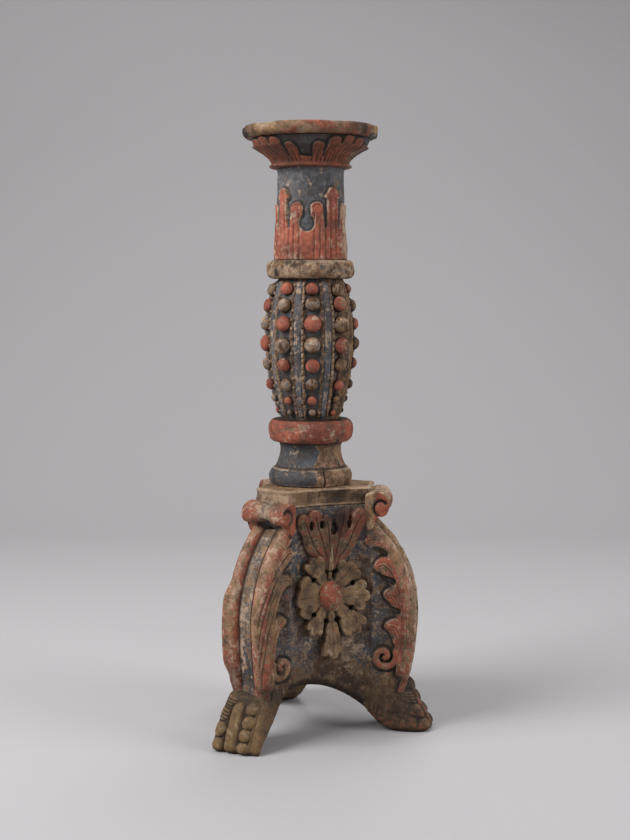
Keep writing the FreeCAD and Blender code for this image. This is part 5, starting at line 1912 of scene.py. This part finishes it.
    def dress(
        self, grid: Section, spots: Array, gap: Array, inside: Array, lines: Array, sign: float
    ) -> Paint:
        """Worn pink ribs, a white and grey hollow, red leaves with pale edges on blue, and painted shade in the
        creases, the carved lines and round the leaves.

        Args:
            grid: The half console.
            spots: Places of the grid, in millimetres.
            gap: Distance outside the leaf.
            inside: Where the leaf is.
            lines: Where its lines are carved.
            sign: 1 or -1, the side.

        Returns:
            The layers of paint.
        """
        reach, height, across, depth, zone = grid.reach, grid.height, grid.across, grid.depth, grid.zone
        patch = noise(spots, 22.0, 3, 95)
        streak = noise(spots, (9.0, 9.0, 46.0), 3, 96)
        fine = noise(spots, 8.0, 2, 97)
        rib, flank = zone == Zone.RIB, zone == Zone.FLANK
        left = 1.0 if self.short else 0.0
        pale_rib = 0.16 * (1.0 - left)
        crest = hump(depth, 0.0, 3.0) * rib
        low = ease(190.0, 110.0, height)
        rub = ease(-0.2, 0.7, streak + 0.4 * patch)
        leafy = 0.74 + 0.28 * patch - 0.15 * rub - left * (0.22 + 0.10 * ease(130.0, 175.0, height))
        near_rib = ease(19.0, 13.0, depth) * (1.0 - left) * 0.24 * ease(292.0, 268.0, height)
        lip = hump(gap, -1.2, 1.1) * (0.60 + 0.3 * fine) * flank
        ridge = hump(lines, 0.40, 0.25) * inside * (0.42 + 0.1 * left + 0.35 * fine) * flank
        # Painted shade: the seam along the hollow's edge, the ground just round the leaf, and the carved lines.
        # The ankle is simply darker towards the bottom.
        seam = hump(across, self.valley_edge - 0.6, 1.8) * ~flank * ease(-3.0, 3.0, depth - 3.0)
        outside = ease(94.0, 100.0, reach)
        hollow = hump(gap, 2.0, 2.0) * 0.66 * flank * outside
        cut = ease(0.5, 1.0, lines) * inside * flank * 0.45
        ankle = ease(100.0, 84.0, height) * (0.35 + 0.4 * patch)
        dark = most(hollow, cut, seam * (0.5 if sign < 0 else 0.75), ankle)

        def by_zone(valley: Array, rib_value: Array, flank_value: Array) -> Array:
            """A value for each part of the section."""
            return np.choose(zone, (valley, rib_value, flank_value))

        pale = by_zone(
            0.36 + 0.38 * streak - 0.14 * low,
            0.24 + pale_rib * 0.5 + 0.25 * streak + 0.12 * crest,
            0.16 + 0.1 * left + 0.2 * patch,
        )
        paint = Paint(
            zone.shape,
            red=by_zone(
                0.22 + 0.3 * streak,
                0.62 - pale_rib + 0.25 * streak + 0.15 * low - 0.15 * crest,
                inside * (leafy - near_rib),
            ),
            blue=by_zone(0.52 + 0.28 * streak + 0.24 * low, 0.12, (1.0 - inside) * (0.72 + 0.28 * patch)),
            ochre=by_zone(0.26 + 0.2 * fine, 0.42 + 0.2 * patch + 0.1 * pale_rib, inside * (0.40 + 0.2 * left)),
            gesso=most(lip, ridge, pale),
            grime_and_shade=dark + 0.08 + 0.25 * ease(0.2, 0.9, -patch),
            tone=0.52 + 0.25 * patch,
            worm=np.where(rib, 1.0, 0.8),
        )
        ground = old_ground(spots)
        # More painted shade on the ground round the leaf.
        ground["grime_and_shade"] = ground["grime_and_shade"] + 0.66 * hump(gap, 2.0, 2.2) * outside
        paint.cover(ground, flank * (1.0 - inside))
        if self.short and sign < 0:
            torn = ease(35.0, 38.0, across) * hump(height, 170.0, 52.0)
            paint["tone"] = paint["tone"] + 0.5 * torn
            for layer in ("red", "blue", "gesso"):
                paint[layer] = paint[layer] * (1.0 - torn)
        return paint

    def roll(self, sculpt: Sculpt) -> None:
        """Adds the scroll roll over the throat, pinched in the middle, with a spiral on each end.

        Args:
            sculpt: The console's mesh.
        """
        ring = curve_through(SHORT_ROLL if self.short else TALL_ROLL, 110)
        eye = np.array([107.0, 335.0] if self.short else [110.5, 341.0])
        hub = np.array([99.0, 343.0])
        wide = self.half_width + 3.5
        shares = [0.04, 0.12, 0.20, 0.28, 0.36, 0.44, 0.52, 0.60, 0.68, 0.76, 0.84, 0.91, 0.96]
        rows = [(-wide, share, True) for share in shares]
        rows += [(spot, 1.0, False) for spot in np.linspace(-wide + 0.8, wide - 0.8, 56)]
        rows += [(wide, share, True) for share in reversed(shares)]
        spot, share, cap = (np.array(column)[:, None] for column in zip(*rows))
        waist = 1.0 - 0.30 * hump(spot, 0.0, 14.0)
        ends = eye + (ring - eye) * share[..., None]
        place = np.where(cap[..., None], ends, hub + (ring - hub) * waist[..., None])
        rim = 1.0 - 0.03 * ease(wide - 4.0, wide, np.abs(spot))
        place = hub + (place - hub) * rim[..., None]
        reach, height = place[..., 0], place[..., 1]
        away = np.hypot(reach - eye[0], height - eye[1])
        swing = (np.degrees(np.arctan2(height - eye[1], reach - eye[0])) - 20.0) % 360.0
        groove = hump(away, 8.2 + swing * 0.020, 1.9) * band(swing, 0.0, 26.0, 215.0, 260.0) * cap
        button = dome(np.clip(away / 7.5, 0.0, 1.0)) * 1.6 * cap
        across = spot + np.sign(spot) * (button - groove * 4.4)
        world = self.spread(reach, across, height)
        wear = noise(world, 14.0, 3, 101)
        world = world + self.spread(wear * 0.7, np.zeros_like(wear), wear * 0.3)
        patch = noise(world, 16.0, 3, 102)
        crown = ease(340.0, 368.0, height)
        pinch = hump(spot, 0.0, 13.0) * ~cap
        body = cap * ease(103.0, 97.0, reach) * (not self.short)
        pocket = hump(height, 316.0, 8.0) * (np.abs(across) < 22.0)
        paint = Paint(
            reach.shape,
            red=0.70 + 0.25 * patch + 0.35 * cap - 0.45 * pinch - 0.15 * crown - 0.75 * body,
            gesso=0.34 + 0.3 * patch + 0.2 * crown - 0.35 * cap + 0.1 * pinch + 0.35 * body,
            ochre=0.5 * body,
            blue=0.6 * pinch + 0.1,
            # Painted shade in the spiral grooves and in the pocket under the roll.
            grime_and_shade=np.maximum(groove, 0.9 * pocket) + 0.05,
            tone=0.55 + 0.2 * patch,
        )
        sculpt.tube(world, paint)


@dataclass
class Paw(Sided):
    """A paw foot: sloping block with three different toes; the front left one is short and slants most."""

    top: float = 84.0
    size: tuple[int, int] = (98, 320)
    slot = Slot.OCHRE

    def build(self) -> bpy.types.Object:
        """Sculpts the paw.

        Returns:
            The finished piece.
        """
        rows, columns = self.size
        levels = np.concatenate([[0.0, 0.4], np.linspace(1.0, self.top, rows - 2)])[:, None]
        turn = np.linspace(0.0, 2.0 * math.pi, columns, endpoint=False)[None, :]
        rungs = [0, 5, 12, 28, 44, 63, 76, 84]
        if self.short:
            lines = (
                [183, 186, 186, 181, 175, 166, 158, 147],
                [160, 157, 152, 139, 126, 108, 97, 90],
                [36.5, 38.0, 38.0, 37.0, 36.0, 34.5, 33.0, 29.0],
            )
        else:
            lines = (
                [180, 182, 180, 171, 162, 153, 147, 139],
                [122, 114, 103, 88, 78, 68, 64, 62],
                [30.0, 33.0, 34.5, 35.0, 34.5, 33.6, 31.0, 27.0],
            )
        front, heel, half = (np.interp(levels, rungs, line) for line in lines)
        cosine, sine = np.cos(turn), np.sin(turn)
        square = 2.0 / np.where(cosine < 0, 5.5, 3.6)
        out = np.sign(cosine) * np.abs(cosine) ** square
        across = np.sign(sine) * np.abs(sine) ** square * half
        across = across * (1.0 - 0.14 * ease(0.1, 1.0, -out) * ease(40.0, 0.0, levels))
        reach = (front + heel) / 2.0 + (front - heel) / 2.0 * out
        if self.short:
            reach = reach - 0.20 * across * ease(0.0, 1.0, out)
            calf = np.interp(levels, [0, 14, 32, 40, 56, 70, 84], [0, 3, 18, 19, 11, 5, 0])
            reach = reach - calf * dome(np.clip(across / 27.0, -1.0, 1.0)) * ease(-0.2, -0.9, out)
        height = np.broadcast_to(levels, reach.shape)
        ahead = ease(0.5, 0.9, out) * ease(82.0, 72.0, height)
        toes, seams, hatch = self.toes(across, height)
        spots = np.stack([reach, across, height], axis=-1)
        push = ahead * (toes * 6.0 - seams * 1.5 - hatch * 1.2)
        push = push + noise(spots, 12.0, 3, 111 + len(self.side)) * 0.9
        world = self.spread(reach + push * ease(0.0, 2.0, height), across, height)
        paint = self.dress(world, ahead, toes, hatch, across, height)
        return self.tube(f"paw_foot_{self.side}", world, paint)

    def toes(self, across: Array, height: Array) -> tuple[Array, Array, Array]:
        """Toe bumps, the seams between toes, and the hatched patches.

        Args:
            across: Distance from the paw's middle.
            height: Heights.

        Returns:
            Bumps, seams and hatching.
        """

        def ball(spot: float, level: float, wide: float, tall: float) -> Array:
            """A round bump."""
            return dome(np.hypot((across - spot) / wide, (height - level) / tall))

        right = ((17.0, 9.5, 9.6, 9.4), (17.5, 27.5, 9.4, 9.0), (18.5, 45.0, 9.6, 9.2), (19.0, 63.5, 9.4, 9.6))
        left = ((-23.0, 11.0, 10.6, 10.4), (-23.5, 32.0, 10.6, 10.4))
        long = np.clip(height - 58.0, 0, None) / 12.0 + np.clip(9.0 - height, 0, None) / 9.5
        middle = dome(np.hypot((across + 2.0) / 9.4, long)) ** 0.5 * 0.72
        patch = np.maximum(ball(-24.0, 53.0, 11.0, 10.0), ball(-17.0, 73.0, 11.0, 9.0))
        bumps = most(middle, patch * 0.6, *(ball(*toe) for toe in right + left))
        hatch = ease(0.5, 0.15, np.abs((height + 0.25 * across) % 4.4 - 2.2) / 2.2) * ease(0.05, 0.4, patch)
        seams = hump(across, -12.2, 1.3) + hump(across, 7.8, 1.3) + hump(across, 28.4, 1.1)
        return bumps, seams * ease(72.0, 62.0, height), hatch

    def dress(
        self, spots: Array, ahead: Array, toes: Array, hatch: Array, across: Array, height: Array
    ) -> Paint:
        """Olive and ochre wood with painted shade between the toes and in the hatching; the front right paw is
        brown.

        Args:
            spots: Places of the grid, in millimetres.
            ahead: Where the paw faces outwards.
            toes: The toe bumps.
            hatch: Where it is hatched.
            across: Distance from the paw's middle.
            height: Heights.

        Returns:
            The layers of paint.
        """
        patch = noise(spots, 16.0, 3, 115)
        brown = 1.0 if self.side == "front_right" else 0.0
        raised = toes * ahead
        low = ease(10.0, 1.0, height)
        between = ease(0.42, 0.05, toes) * ahead * ease(27.0, 24.0, across)
        ankle = ease(56.0, 76.0, height) * (0.30 + 0.35 * patch)
        # Painted shade between the toes and in the hatching; also darker towards the floor and towards the top.
        dark = most(between * 0.55, hatch * ahead * 0.7, low * 0.5, ankle)
        paint = Paint(
            across.shape,
            ochre=0.66 + 0.25 * patch + 0.2 * raised - 0.46 * brown,
            tone=0.44 + 0.2 * patch + 0.15 * raised - 0.20 * brown,
            gesso=0.16 + 0.15 * raised + 0.25 * patch - 0.12 * brown,
            red=0.14 + 0.2 * noise(spots, 24.0, 2, 116) + 0.20 * brown,
            grime_and_shade=dark + 0.14 + 0.20 * brown + 0.25 * ease(0.2, 0.9, -patch),
        )
        paint.cover(old_ground(spots), ease(22.0, 62.0, height) * (1.0 - ahead) * (0.6 if self.short else 1.0))
        return paint


@dataclass
class Face(Sided):
    """One hollow face of the base: panel, rosette, button and upright leaf."""

    rosette: bpy.types.Material
    half: float = 67.0
    middle: float = 67.5
    back: float = 53.0
    hollow: float = 280.0
    top: float = 344.8
    centre: float = 213.0
    sunk: float = 3.0
    sheet: float = 4.0
    petal: float = 45.0
    flower_half: float = 68.0
    flower_drop: float = 108.0
    panel_size: tuple[int, int] = (190, 112)
    flower_size: tuple[int, int] = (200, 156)
    button_size: tuple[int, int] = (46, 96)
    leaf_size: tuple[int, int] = (138, 152)
    slot = Slot.BLUE

    def surface(self, across: Array) -> Array:
        """Distance of the panel's face from the stem axis."""
        return self.middle + self.hollow - np.sqrt(self.hollow**2 - across**2)

    def raised(self, x: Array, z: Array, thick: Array, inside: Array, rough: Array) -> Array:
        """Points of a carving that stands on the panel's face, and is sunk in it round about."""
        return self.spread(self.surface(x) + thick * inside - self.sunk * (1.0 - inside) + rough, x, z)

    def plate(self, kind: str, top: Array, paint: Paint, owner: Part, slot: Slot) -> bpy.types.Object:
        """Makes a carving from its upper side.

        Args:
            kind: What the carving is called.
            top: Points of its upper side.
            paint: Their layers.
            owner: The part whose finish it takes.
            slot: Its material slot.

        Returns:
            The finished piece.
        """
        sculpt = Sculpt(f"{kind}_{self.side}")
        sculpt.plate(top, paint, self.spread(np.array(-self.sheet), np.array(0.0), np.array(0.0)))
        return owner.settle(sculpt, slot)

    def build(self) -> list[bpy.types.Object]:
        """Sculpts the four pieces of a face."""
        return [self.panel(), self.flower(), self.button(), self.leaf()]

    def arch(self, across: Array) -> Array:
        """Underside of the panel; the two beside the short paw lean towards it.

        Args:
            across: Distance from the face's middle.

        Returns:
            Heights.
        """
        leaning = {"front": (77.0, 30.0, 79.0, 40.0), "left": (32.0, 77.0, 79.0, -40.0)}
        left, right, peak, shift = leaning.get(self.side, (32.0, 32.0, 76.0, 0.0))
        away = (across + shift) / np.where(across < -shift, self.half - shift, self.half + shift)
        foot = np.where(across < -shift, left, right)
        return peak - (peak - foot) * np.abs(away) ** 2.0

    def panel(self) -> bpy.types.Object:
        """The arched panel, whose edges sweep out into the consoles.

        Returns:
            The finished piece.
        """
        rows, columns = self.panel_size
        across = np.linspace(-self.half, self.half, columns)
        arch = self.arch(across)
        share = np.linspace(0.0, 1.0, rows)[:, None]
        height = arch + share * (self.top - arch)
        wide = np.broadcast_to(across, height.shape)
        out = self.surface(wide)
        spots = self.spread(out, wide, height)
        near = np.clip(1.0 - (height - arch) / 13.0, 0.0, 1.0)
        carve = noise(spots, 20.0, 3, 121) * 1.1 + noise(spots, 7.0, 2, 122) * 0.4 - near**2 * 8.0
        carve = carve + 5.0 * ease(40.0, self.half, np.abs(wide)) ** 1.6 * ease(55.0, 90.0, height)
        carve = carve - 6.0 * ease(48.0, self.half, np.abs(wide)) * ease(90.0, 55.0, height)
        front = self.spread(out + carve, wide, height)
        narrow = 0.40
        behind = self.arch(across * narrow) + 5.0
        level = behind + share * (self.top - behind)
        rear = self.spread(np.full(height.shape, self.back), wide * narrow, level)
        points = np.concatenate([front, rear[:, ::-1]], axis=1)
        paint = Paint(points.shape[:2])
        # Painted shade along the arch, where the panel rounds under.
        edge = ease(16.0, 4.0, height - arch)
        layers = old_ground(spots)
        layers["blue"] = layers["blue"] - 0.2 * edge
        layers["gesso"] = layers["gesso"] + 0.24 * hump(wide, 40.0, 18.0) * hump(height, 130.0, 36.0)
        layers["grime_and_shade"] = layers["grime_and_shade"] + 0.35 * edge
        for layer, value in layers.items():
            paint[layer] = np.concatenate([value, value[:, ::-1] * (1.0 if layer == "tone" else 0.5)], axis=1)
        sculpt = Sculpt(f"face_panel_{self.side}")
        sculpt.tube(points, paint, bridge=True)
        return self.settle(sculpt)

    def flower(self) -> bpy.types.Object:
        """The rosette: seven three-lobed petals, the lowest one long, with drilled eyes between.

        Returns:
            The finished piece.
        """
        rows, columns = self.flower_size
        edge = self.flower_half
        x, z = np.meshgrid(np.linspace(-edge, edge, columns), np.linspace(-self.flower_drop, edge, rows))
        reach = np.hypot(x, z)
        whole, side = self.petal, self.petal / 2.0
        # Where each petal starts, counter-clockwise from the right; the first comes again a turn later.
        bounds = np.array([-32.0, 27.0, 78.0, 100.0, 137.0, 223.0, 257.0, 288.0, 328.0, 387.0])
        angle = np.interp(np.degrees(np.arctan2(z, x)) % 360.0, bounds, np.arange(10) * whole - side)
        number = np.round(angle / whole).astype(int) % 8
        wide = (np.diff(bounds)[:8] / whole)[number]
        part = turn_from(angle, number * whole)
        long = np.array([61.0, 61.0, 60.0, 68.0, 59.0, 66.0, 97.0, 74.0])[number]
        narrow = np.where(number == 6, 0.82, 1.0)
        lobe = most(dome(part / 9.5), *(dome((part - shift) / 9.0) * 0.92 for shift in (15.5, -15.5)))
        limit = long * (0.80 + 0.20 * lobe - 0.10 * (np.abs(part) / side) ** 2)
        world = self.spread(np.full(x.shape, self.middle), x, z + self.centre)
        gap = reach - limit + noise(world, 10.0, 2, 131) * 1.4
        slit = (side * narrow - np.abs(part)) * reach / RADIAN * wide
        gap = np.maximum(gap, np.where(reach > 42.0, 0.06 * (reach - 56.0) - slit, -30.0))
        missing = (number == 2) & (reach > 26.0)
        gap = np.where(missing, np.maximum(gap, np.minimum(reach - 26.0, side - np.abs(part))), gap)
        inside = ease(0.8, -1.8, gap)
        curve = np.clip(reach / limit, 0.0, 1.2)
        seam = hump(slit, 0.0, 1.9) * ease(20.0, 27.0, reach)
        vein = hump(part * reach / RADIAN * wide, 0.0, 0.8) * ease(22.0, 30.0, reach) * ease(1.0, 0.85, curve)
        fold = (1.0 - lobe) * ease(0.50, 0.90, curve)
        eye = ease(4.6, 3.0, np.hypot(slit, reach - 38.0))
        cup = hump(curve, 0.78, 0.10) * lobe
        thick = 6.5 + 4.0 * dome(np.clip((curve - 0.62) / 0.58, -1.0, 1.0)) - 2.5 * ease(30.0, 10.0, reach)
        thick = thick + 3.0 * lobe * ease(0.35, 0.85, curve) - seam * 2.6 - vein * 0.6 - fold * 1.0 - eye * 8.0
        thick = thick + 1.6 * hump(curve, 0.95, 0.07) - 2.0 * cup
        top = self.raised(x, z + self.centre, thick, inside, noise(world, 8.0, 3, 132) * 0.35)
        patch = noise(top, 15.0, 3, 133)
        warm = (number == 1) + 0.6 * (number == 4) + 0.4 * (number == 3)
        # Painted shade in the folds, veins and cupped lobes, in the seams and drilled eyes, and on the ground
        # round the petals.
        soft = np.maximum(fold * 0.16, vein * 0.15) + 0.22 * cup
        dark = most(eye, seam * 0.50, soft, hump(gap, 1.0, 1.4) * 0.5)
        paint = Paint(
            x.shape,
            ochre=0.58 + 0.25 * patch + 0.12 * warm,
            tone=0.52 + 0.2 * patch - 0.15 * warm,
            blue=0.22 + 0.25 * noise(top, 24.0, 2, 135),
            gesso=0.24 + 0.2 * patch + 0.22 * hump(gap, -1.5, 1.2) - 0.15 * warm,
            red=0.20 + 0.25 * noise(top, 18.0, 2, 134),
            grime_and_shade=dark + 0.10 + 0.25 * ease(0.1, 0.9, -patch) + 0.12 * warm,
            worm=0.9,
        )
        return self.plate("rosette", top, paint, Part(self.rosette), Slot.OCHRE)

    def button(self) -> bpy.types.Object:
        """The oval button in the middle.

        Returns:
            The finished piece.
        """
        rows, columns = self.button_size
        lean = np.linspace(-0.35, math.pi / 2 - 0.02, rows)[:, None]
        turn = np.linspace(0.0, 2.0 * math.pi, columns, endpoint=False)[None, :]
        ring = np.cos(lean) ** 0.9
        x = 17.6 * ring * np.cos(turn)
        z = 22.5 * ring * np.sin(turn)
        out = np.broadcast_to(75.0 + 16.5 * np.sin(lean), x.shape)
        wear = noise(self.spread(out, x, z + self.centre), 8.0, 3, 141)
        swell = 1 + 0.03 * wear
        world = self.spread(out + wear * 0.5, x * swell, z * swell + self.centre)
        patch = noise(world, 9.0, 3, 142)
        paint = Paint(
            x.shape,
            red=0.66 + 0.3 * patch,
            ochre=0.5 + 0.2 * patch,
            gesso=0.26 + 0.25 * patch,
            tone=0.6 + 0.2 * patch,
            # Painted shade round the foot of the button, where it meets the panel.
            grime_and_shade=0.85 * ease(0.15, -0.2, lean) + 0.05,
        )
        return self.tube(f"rosette_boss_{self.side}", world, paint, Slot.RED)

    def leaf(self) -> bpy.types.Object:
        """The upright leaf: a fan with round lobes at the top and a keyhole, on a pale stem.

        Returns:
            The finished piece.
        """
        rows, columns = self.leaf_size
        x, z = np.meshgrid(np.linspace(-60.0, 62.0, columns), np.linspace(233.0, 343.5, rows))
        world = self.spread(np.full(x.shape, self.middle), x, z)
        level = z + noise(world, 12.0, 3, 151) * 1.4
        gap = np.full(x.shape, FAR)
        lines = np.zeros(x.shape)
        swell = np.zeros(x.shape)
        for lobe in FAN_LOBES:
            path = trail(lobe, 16)
            bar = ribbon(x, level, path)
            wide = ribbon(x, level, [(*spot[:2], 0.0) for spot in path])
            swell = np.maximum(swell, dome(np.clip(1.0 + bar / 9.0, 0.0, 1.0)))
            lines = np.maximum(lines, hump(wide, 0.0, 0.9) * ease(258, 275, z) * ease(-1.5, -4.5, bar))
            gap = np.minimum(gap, bar)
        hole = np.hypot(x - 6.0, (z - 311.0) / 1.5) - 4.6
        keyhole = np.minimum(hole, capsule(x, z, (6.0, 314.0), (4.0, 346.0), 2.0, 3.4))
        for spot, rise in ((-31.0, 318.0), (-14.0, 319.0), (30.0, 317.0)):
            keyhole = np.minimum(keyhole, capsule(x, level, (spot, rise - 4.0), (spot, rise + 3.0), 1.6, 3.0))
        gap = np.maximum(gap, -keyhole)
        stem = ribbon(x, z, [(0.0, 230.0, 4.4), (0.5, 256.0, 4.0), (1.0, 284.0, 2.2)])
        inside = ease(0.8, -1.8, np.minimum(gap, stem))
        thick = 4.6 + 4.4 * swell - 1.3 * lines + 2.4 * ease(0.6, -1.5, stem) + 2.6 * ease(300.0, 342.0, z)
        top = self.raised(x, z, thick, inside, noise(world, 8.0, 3, 152) * 0.4)
        patch = noise(top, 16.0, 3, 153)
        fine = noise(top, 8.0, 2, 154)
        on_stem = ease(0.6, -1.0, stem)
        lip, ridge = hump(gap, -1.4, 1.1), hump(lines, 0.4, 0.25)
        pale = np.maximum(lip * (0.55 + 0.3 * fine), ridge * (0.32 + 0.3 * fine))
        stain = hump(x, 10.0, 16.0) * hump(z, 326.0, 24.0) * ease(-0.6, 0.4, patch)
        # Painted shade round the leaf's outline and in its carved lines; the stain is real.
        dark = most(hump(gap, 1.4, 1.5) * 0.85, ease(0.5, 1.0, lines) * 0.6, stain * 0.75)
        paint = Paint(
            x.shape,
            red=(0.66 + 0.34 * patch) * (1.0 - 0.75 * on_stem),
            ochre=0.36 + 0.35 * on_stem,
            gesso=pale + 0.35 * on_stem,
            grime_and_shade=dark + 0.06 + 0.27 * (1.0 - on_stem),
            tone=0.5 + 0.2 * patch,
        )
        return self.plate("upright_leaf", top, paint, self, Slot.RED)


@dataclass
class Studio:
    """Floor, light and camera, in metres."""

    distance: float = 2.096
    eye: float = 0.668
    tilt: float = 5.508
    aim: float = 0.176
    turn: float = VIEWER
    lens: float = 60.0
    lit_height: float = 0.42
    floor_ahead: float = 6.0
    floor_behind: float = 1.6
    half_width: float = 7.0
    sweep: float = 1.2
    sky: Colour = (0.785, 0.775, 0.765)
    sky_strength: float = 0.35

    def build(self, paper: bpy.types.Material) -> None:
        """Sets the stage.

        Args:
            paper: Finish of the floor.
        """
        self.floor(paper)
        self.lights()
        self.camera()

    def around(self, seen: float, away: float, height: float) -> Vector:
        """A place round the object, at an angle from the viewer's direction."""
        angle = math.radians(self.turn + seen)
        return Vector((away * math.cos(angle), away * math.sin(angle), height))

    def point(self, name: str, data: bpy.types.ID, spot: Vector, look: Vector) -> bpy.types.Object:
        """Adds a lamp or a camera that looks one way.

        Args:
            name: Name of the object.
            data: Lamp or camera.
            spot: Where it stands.
            look: Which way it looks.

        Returns:
            The object.
        """
        made = show(name, data)
        made.matrix_world = Matrix.Translation(spot) @ look.to_track_quat("-Z", "Y").to_matrix().to_4x4()
        return made

    def floor(self, paper: bpy.types.Material) -> None:
        """A pale floor that sweeps up far behind.

        Args:
            paper: Finish of the floor.
        """
        rows = [(-self.floor_ahead, 0.0), (self.floor_behind, 0.0)]
        for bend in np.linspace(0.1, math.pi / 2, 16):
            rows.append((self.floor_behind + self.sweep * math.sin(bend), self.sweep * (1.0 - math.cos(bend))))
        rows.append((self.floor_behind + self.sweep, 6.0))
        side = self.around(270.0, self.half_width, 0.0)
        points = [self.around(180.0, run, rise) + side * sign for run, rise in rows for sign in (-1.0, 1.0)]
        faces = [(2 * n, 2 * n + 2, 2 * n + 3, 2 * n + 1) for n in range(len(rows) - 1)]
        mesh = bpy.data.meshes.new("studio_floor")
        mesh.from_pydata(points, [], faces)
        smooth(mesh)
        mesh.materials.append(paper)
        show("studio_floor", mesh)

    def lights(self) -> None:
        """Soft boxes: a large key at the upper left, a weaker fill at the right, and an even sky."""
        for name, seen, away, height, size, power in (
            ("key", -62.0, 2.2, 2.1, 1.5, 95.0),
            ("fill", 70.0, 2.6, 1.5, 1.6, 42.0),
            ("top", 160.0, 1.2, 2.6, 1.4, 30.0),
        ):
            lamp = bpy.data.lights.new(name, "AREA")
            lamp.energy = power
            lamp.size = size
            spot = self.around(seen, away, height)
            self.point(name, lamp, spot, Vector((0.0, 0.0, self.lit_height)) - spot)
        world = bpy.data.worlds.new("studio_air")
        world.use_nodes = True
        sky = world.node_tree.nodes["Background"]
        sky.inputs["Color"].default_value = (*self.sky, 1.0)
        sky.inputs["Strength"].default_value = self.sky_strength
        bpy.context.scene.world = world

    def camera(self) -> None:
        """The photograph's own viewpoint."""
        lens = bpy.data.cameras.new("viewpoint")
        lens.sensor_fit = "AUTO"
        lens.sensor_width = 36.0
        lens.lens = self.lens
        drop = math.radians(self.tilt)
        look = self.around(180.0 - self.aim, math.cos(drop), -math.sin(drop))
        scene = bpy.context.scene
        scene.camera = self.point("viewpoint", lens, self.around(0.0, self.distance, self.eye), look)
        scene.view_settings.view_transform = "Standard"


def dress_hidden(nodes: dict[str, bpy.types.Object]) -> None:
    """Gives the solids that are shown as they are their own finishes.

    Args:
        nodes: The frame's solids by name.
    """
    timber = Timber("hidden_timber").material()
    iron = Iron("rusty_iron").material()
    wooden = ("base_core", "console_dowels", "foot_dowels", "slab_pegs")
    kinds = {name: (timber, Slot.HIDDEN) for name in wooden}
    kinds.update({name: (iron, Slot.IRON) for name in ("pricket", "pan_nails")})
    for name, (material, slot) in kinds.items():
        nodes[name].data.materials.clear()
        nodes[name].data.materials.append(material)


def build_stem(paint: bpy.types.Material, painted_light_finish: bpy.types.Material, bare: bpy.types.Material) -> None:
    """Builds the stem, from the pan down to the slab.

    Args:
        paint: Finish of the darker painted pieces.
        painted_light_finish: Finish of the well-lit neck and bulb, a paler copy of the paint that carries
            painted light.
        bare: Finish of the worn wood.
    """
    DripPan(bare).build()
    cup = [(CORE, 839.0), (54.0, 839.0), (57.0, 840.2), (58.0, 842.0), (56.5, 843.8), (54.6, 845.0)]
    cup += [(54.0 + 28.0 * share**1.55, 845.5 + 22.5 * share) for share in np.linspace(0.05, 1.0, 16)]
    cup += [(88.0, 881.5), (CORE, 882.0)]
    # The cup carries a painted shadow of the pan.
    LeafCup(paint, "pan_calyx", cup, (130, 360), relief=4.0, tip_curl=4.0, mean_radius=75.0, pan_shadow=0.36).build()
    neck = [(CORE, 705.0), (51.5, 705.0), (50.0, 772.0), (49.0, 832.0), (50.5, 838.9), (CORE, 839.0)]
    LeafNeck(painted_light_finish, "neck_shaft", neck, (220, 360), relief=3.8, tip_curl=0.5, mean_radius=52.0).build()
    StemRing(bare, "upper_ring", radius=65.5, bottom=677.0, top=705.0, painted=False).build()
    Bulb(painted_light_finish).build()
    StemRing(paint, "lower_ring", radius=63.5, bottom=435.0, top=469.0, painted=True).build()
    StemFoot(paint).build()
    Slab(bare).build()


def main() -> None:
    """Builds the whole scene."""
    logging.basicConfig(level=logging.INFO, format="%(name)s %(message)s")
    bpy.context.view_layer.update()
    paint = Polychrome("old_polychrome").material()
    # A paler copy of the paint for the neck and bulb: painted light.
    lit_red = {"red": (0.375, 0.100, 0.058), "pink": (0.480, 0.225, 0.155)}
    lit_blue = {"blue": (0.104, 0.107, 0.117), "blue_deep": (0.038, 0.040, 0.046)}
    painted_light_finish = Polychrome("stem_polychrome_painted_light", **lit_red, **lit_blue, haze=0.5).material()
    bare = Polychrome("bare_wood", ground=(0.355, 0.245, 0.160)).material()
    tan = Polychrome("tan_wood", ochre=(0.29, 0.180, 0.088), wood=(0.165, 0.098, 0.052)).material()
    dull = {"ochre": (0.195, 0.122, 0.050), "wood": (0.12, 0.063, 0.027), "ground": (0.30, 0.205, 0.130)}
    olive = Polychrome("olive_wood", **dull).material()
    build_stem(paint, painted_light_finish, bare)
    for side, degrees in LEGS.items():
        Console(paint, side, degrees).build()
        Paw(olive, side, degrees).build()
    for side, degrees in FACES.items():
        Face(paint, side, degrees, tan).build()
    dress_hidden(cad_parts)
    Studio().build(Backdrop("studio_paper").material())


if __name__ == "__main__":
    main()
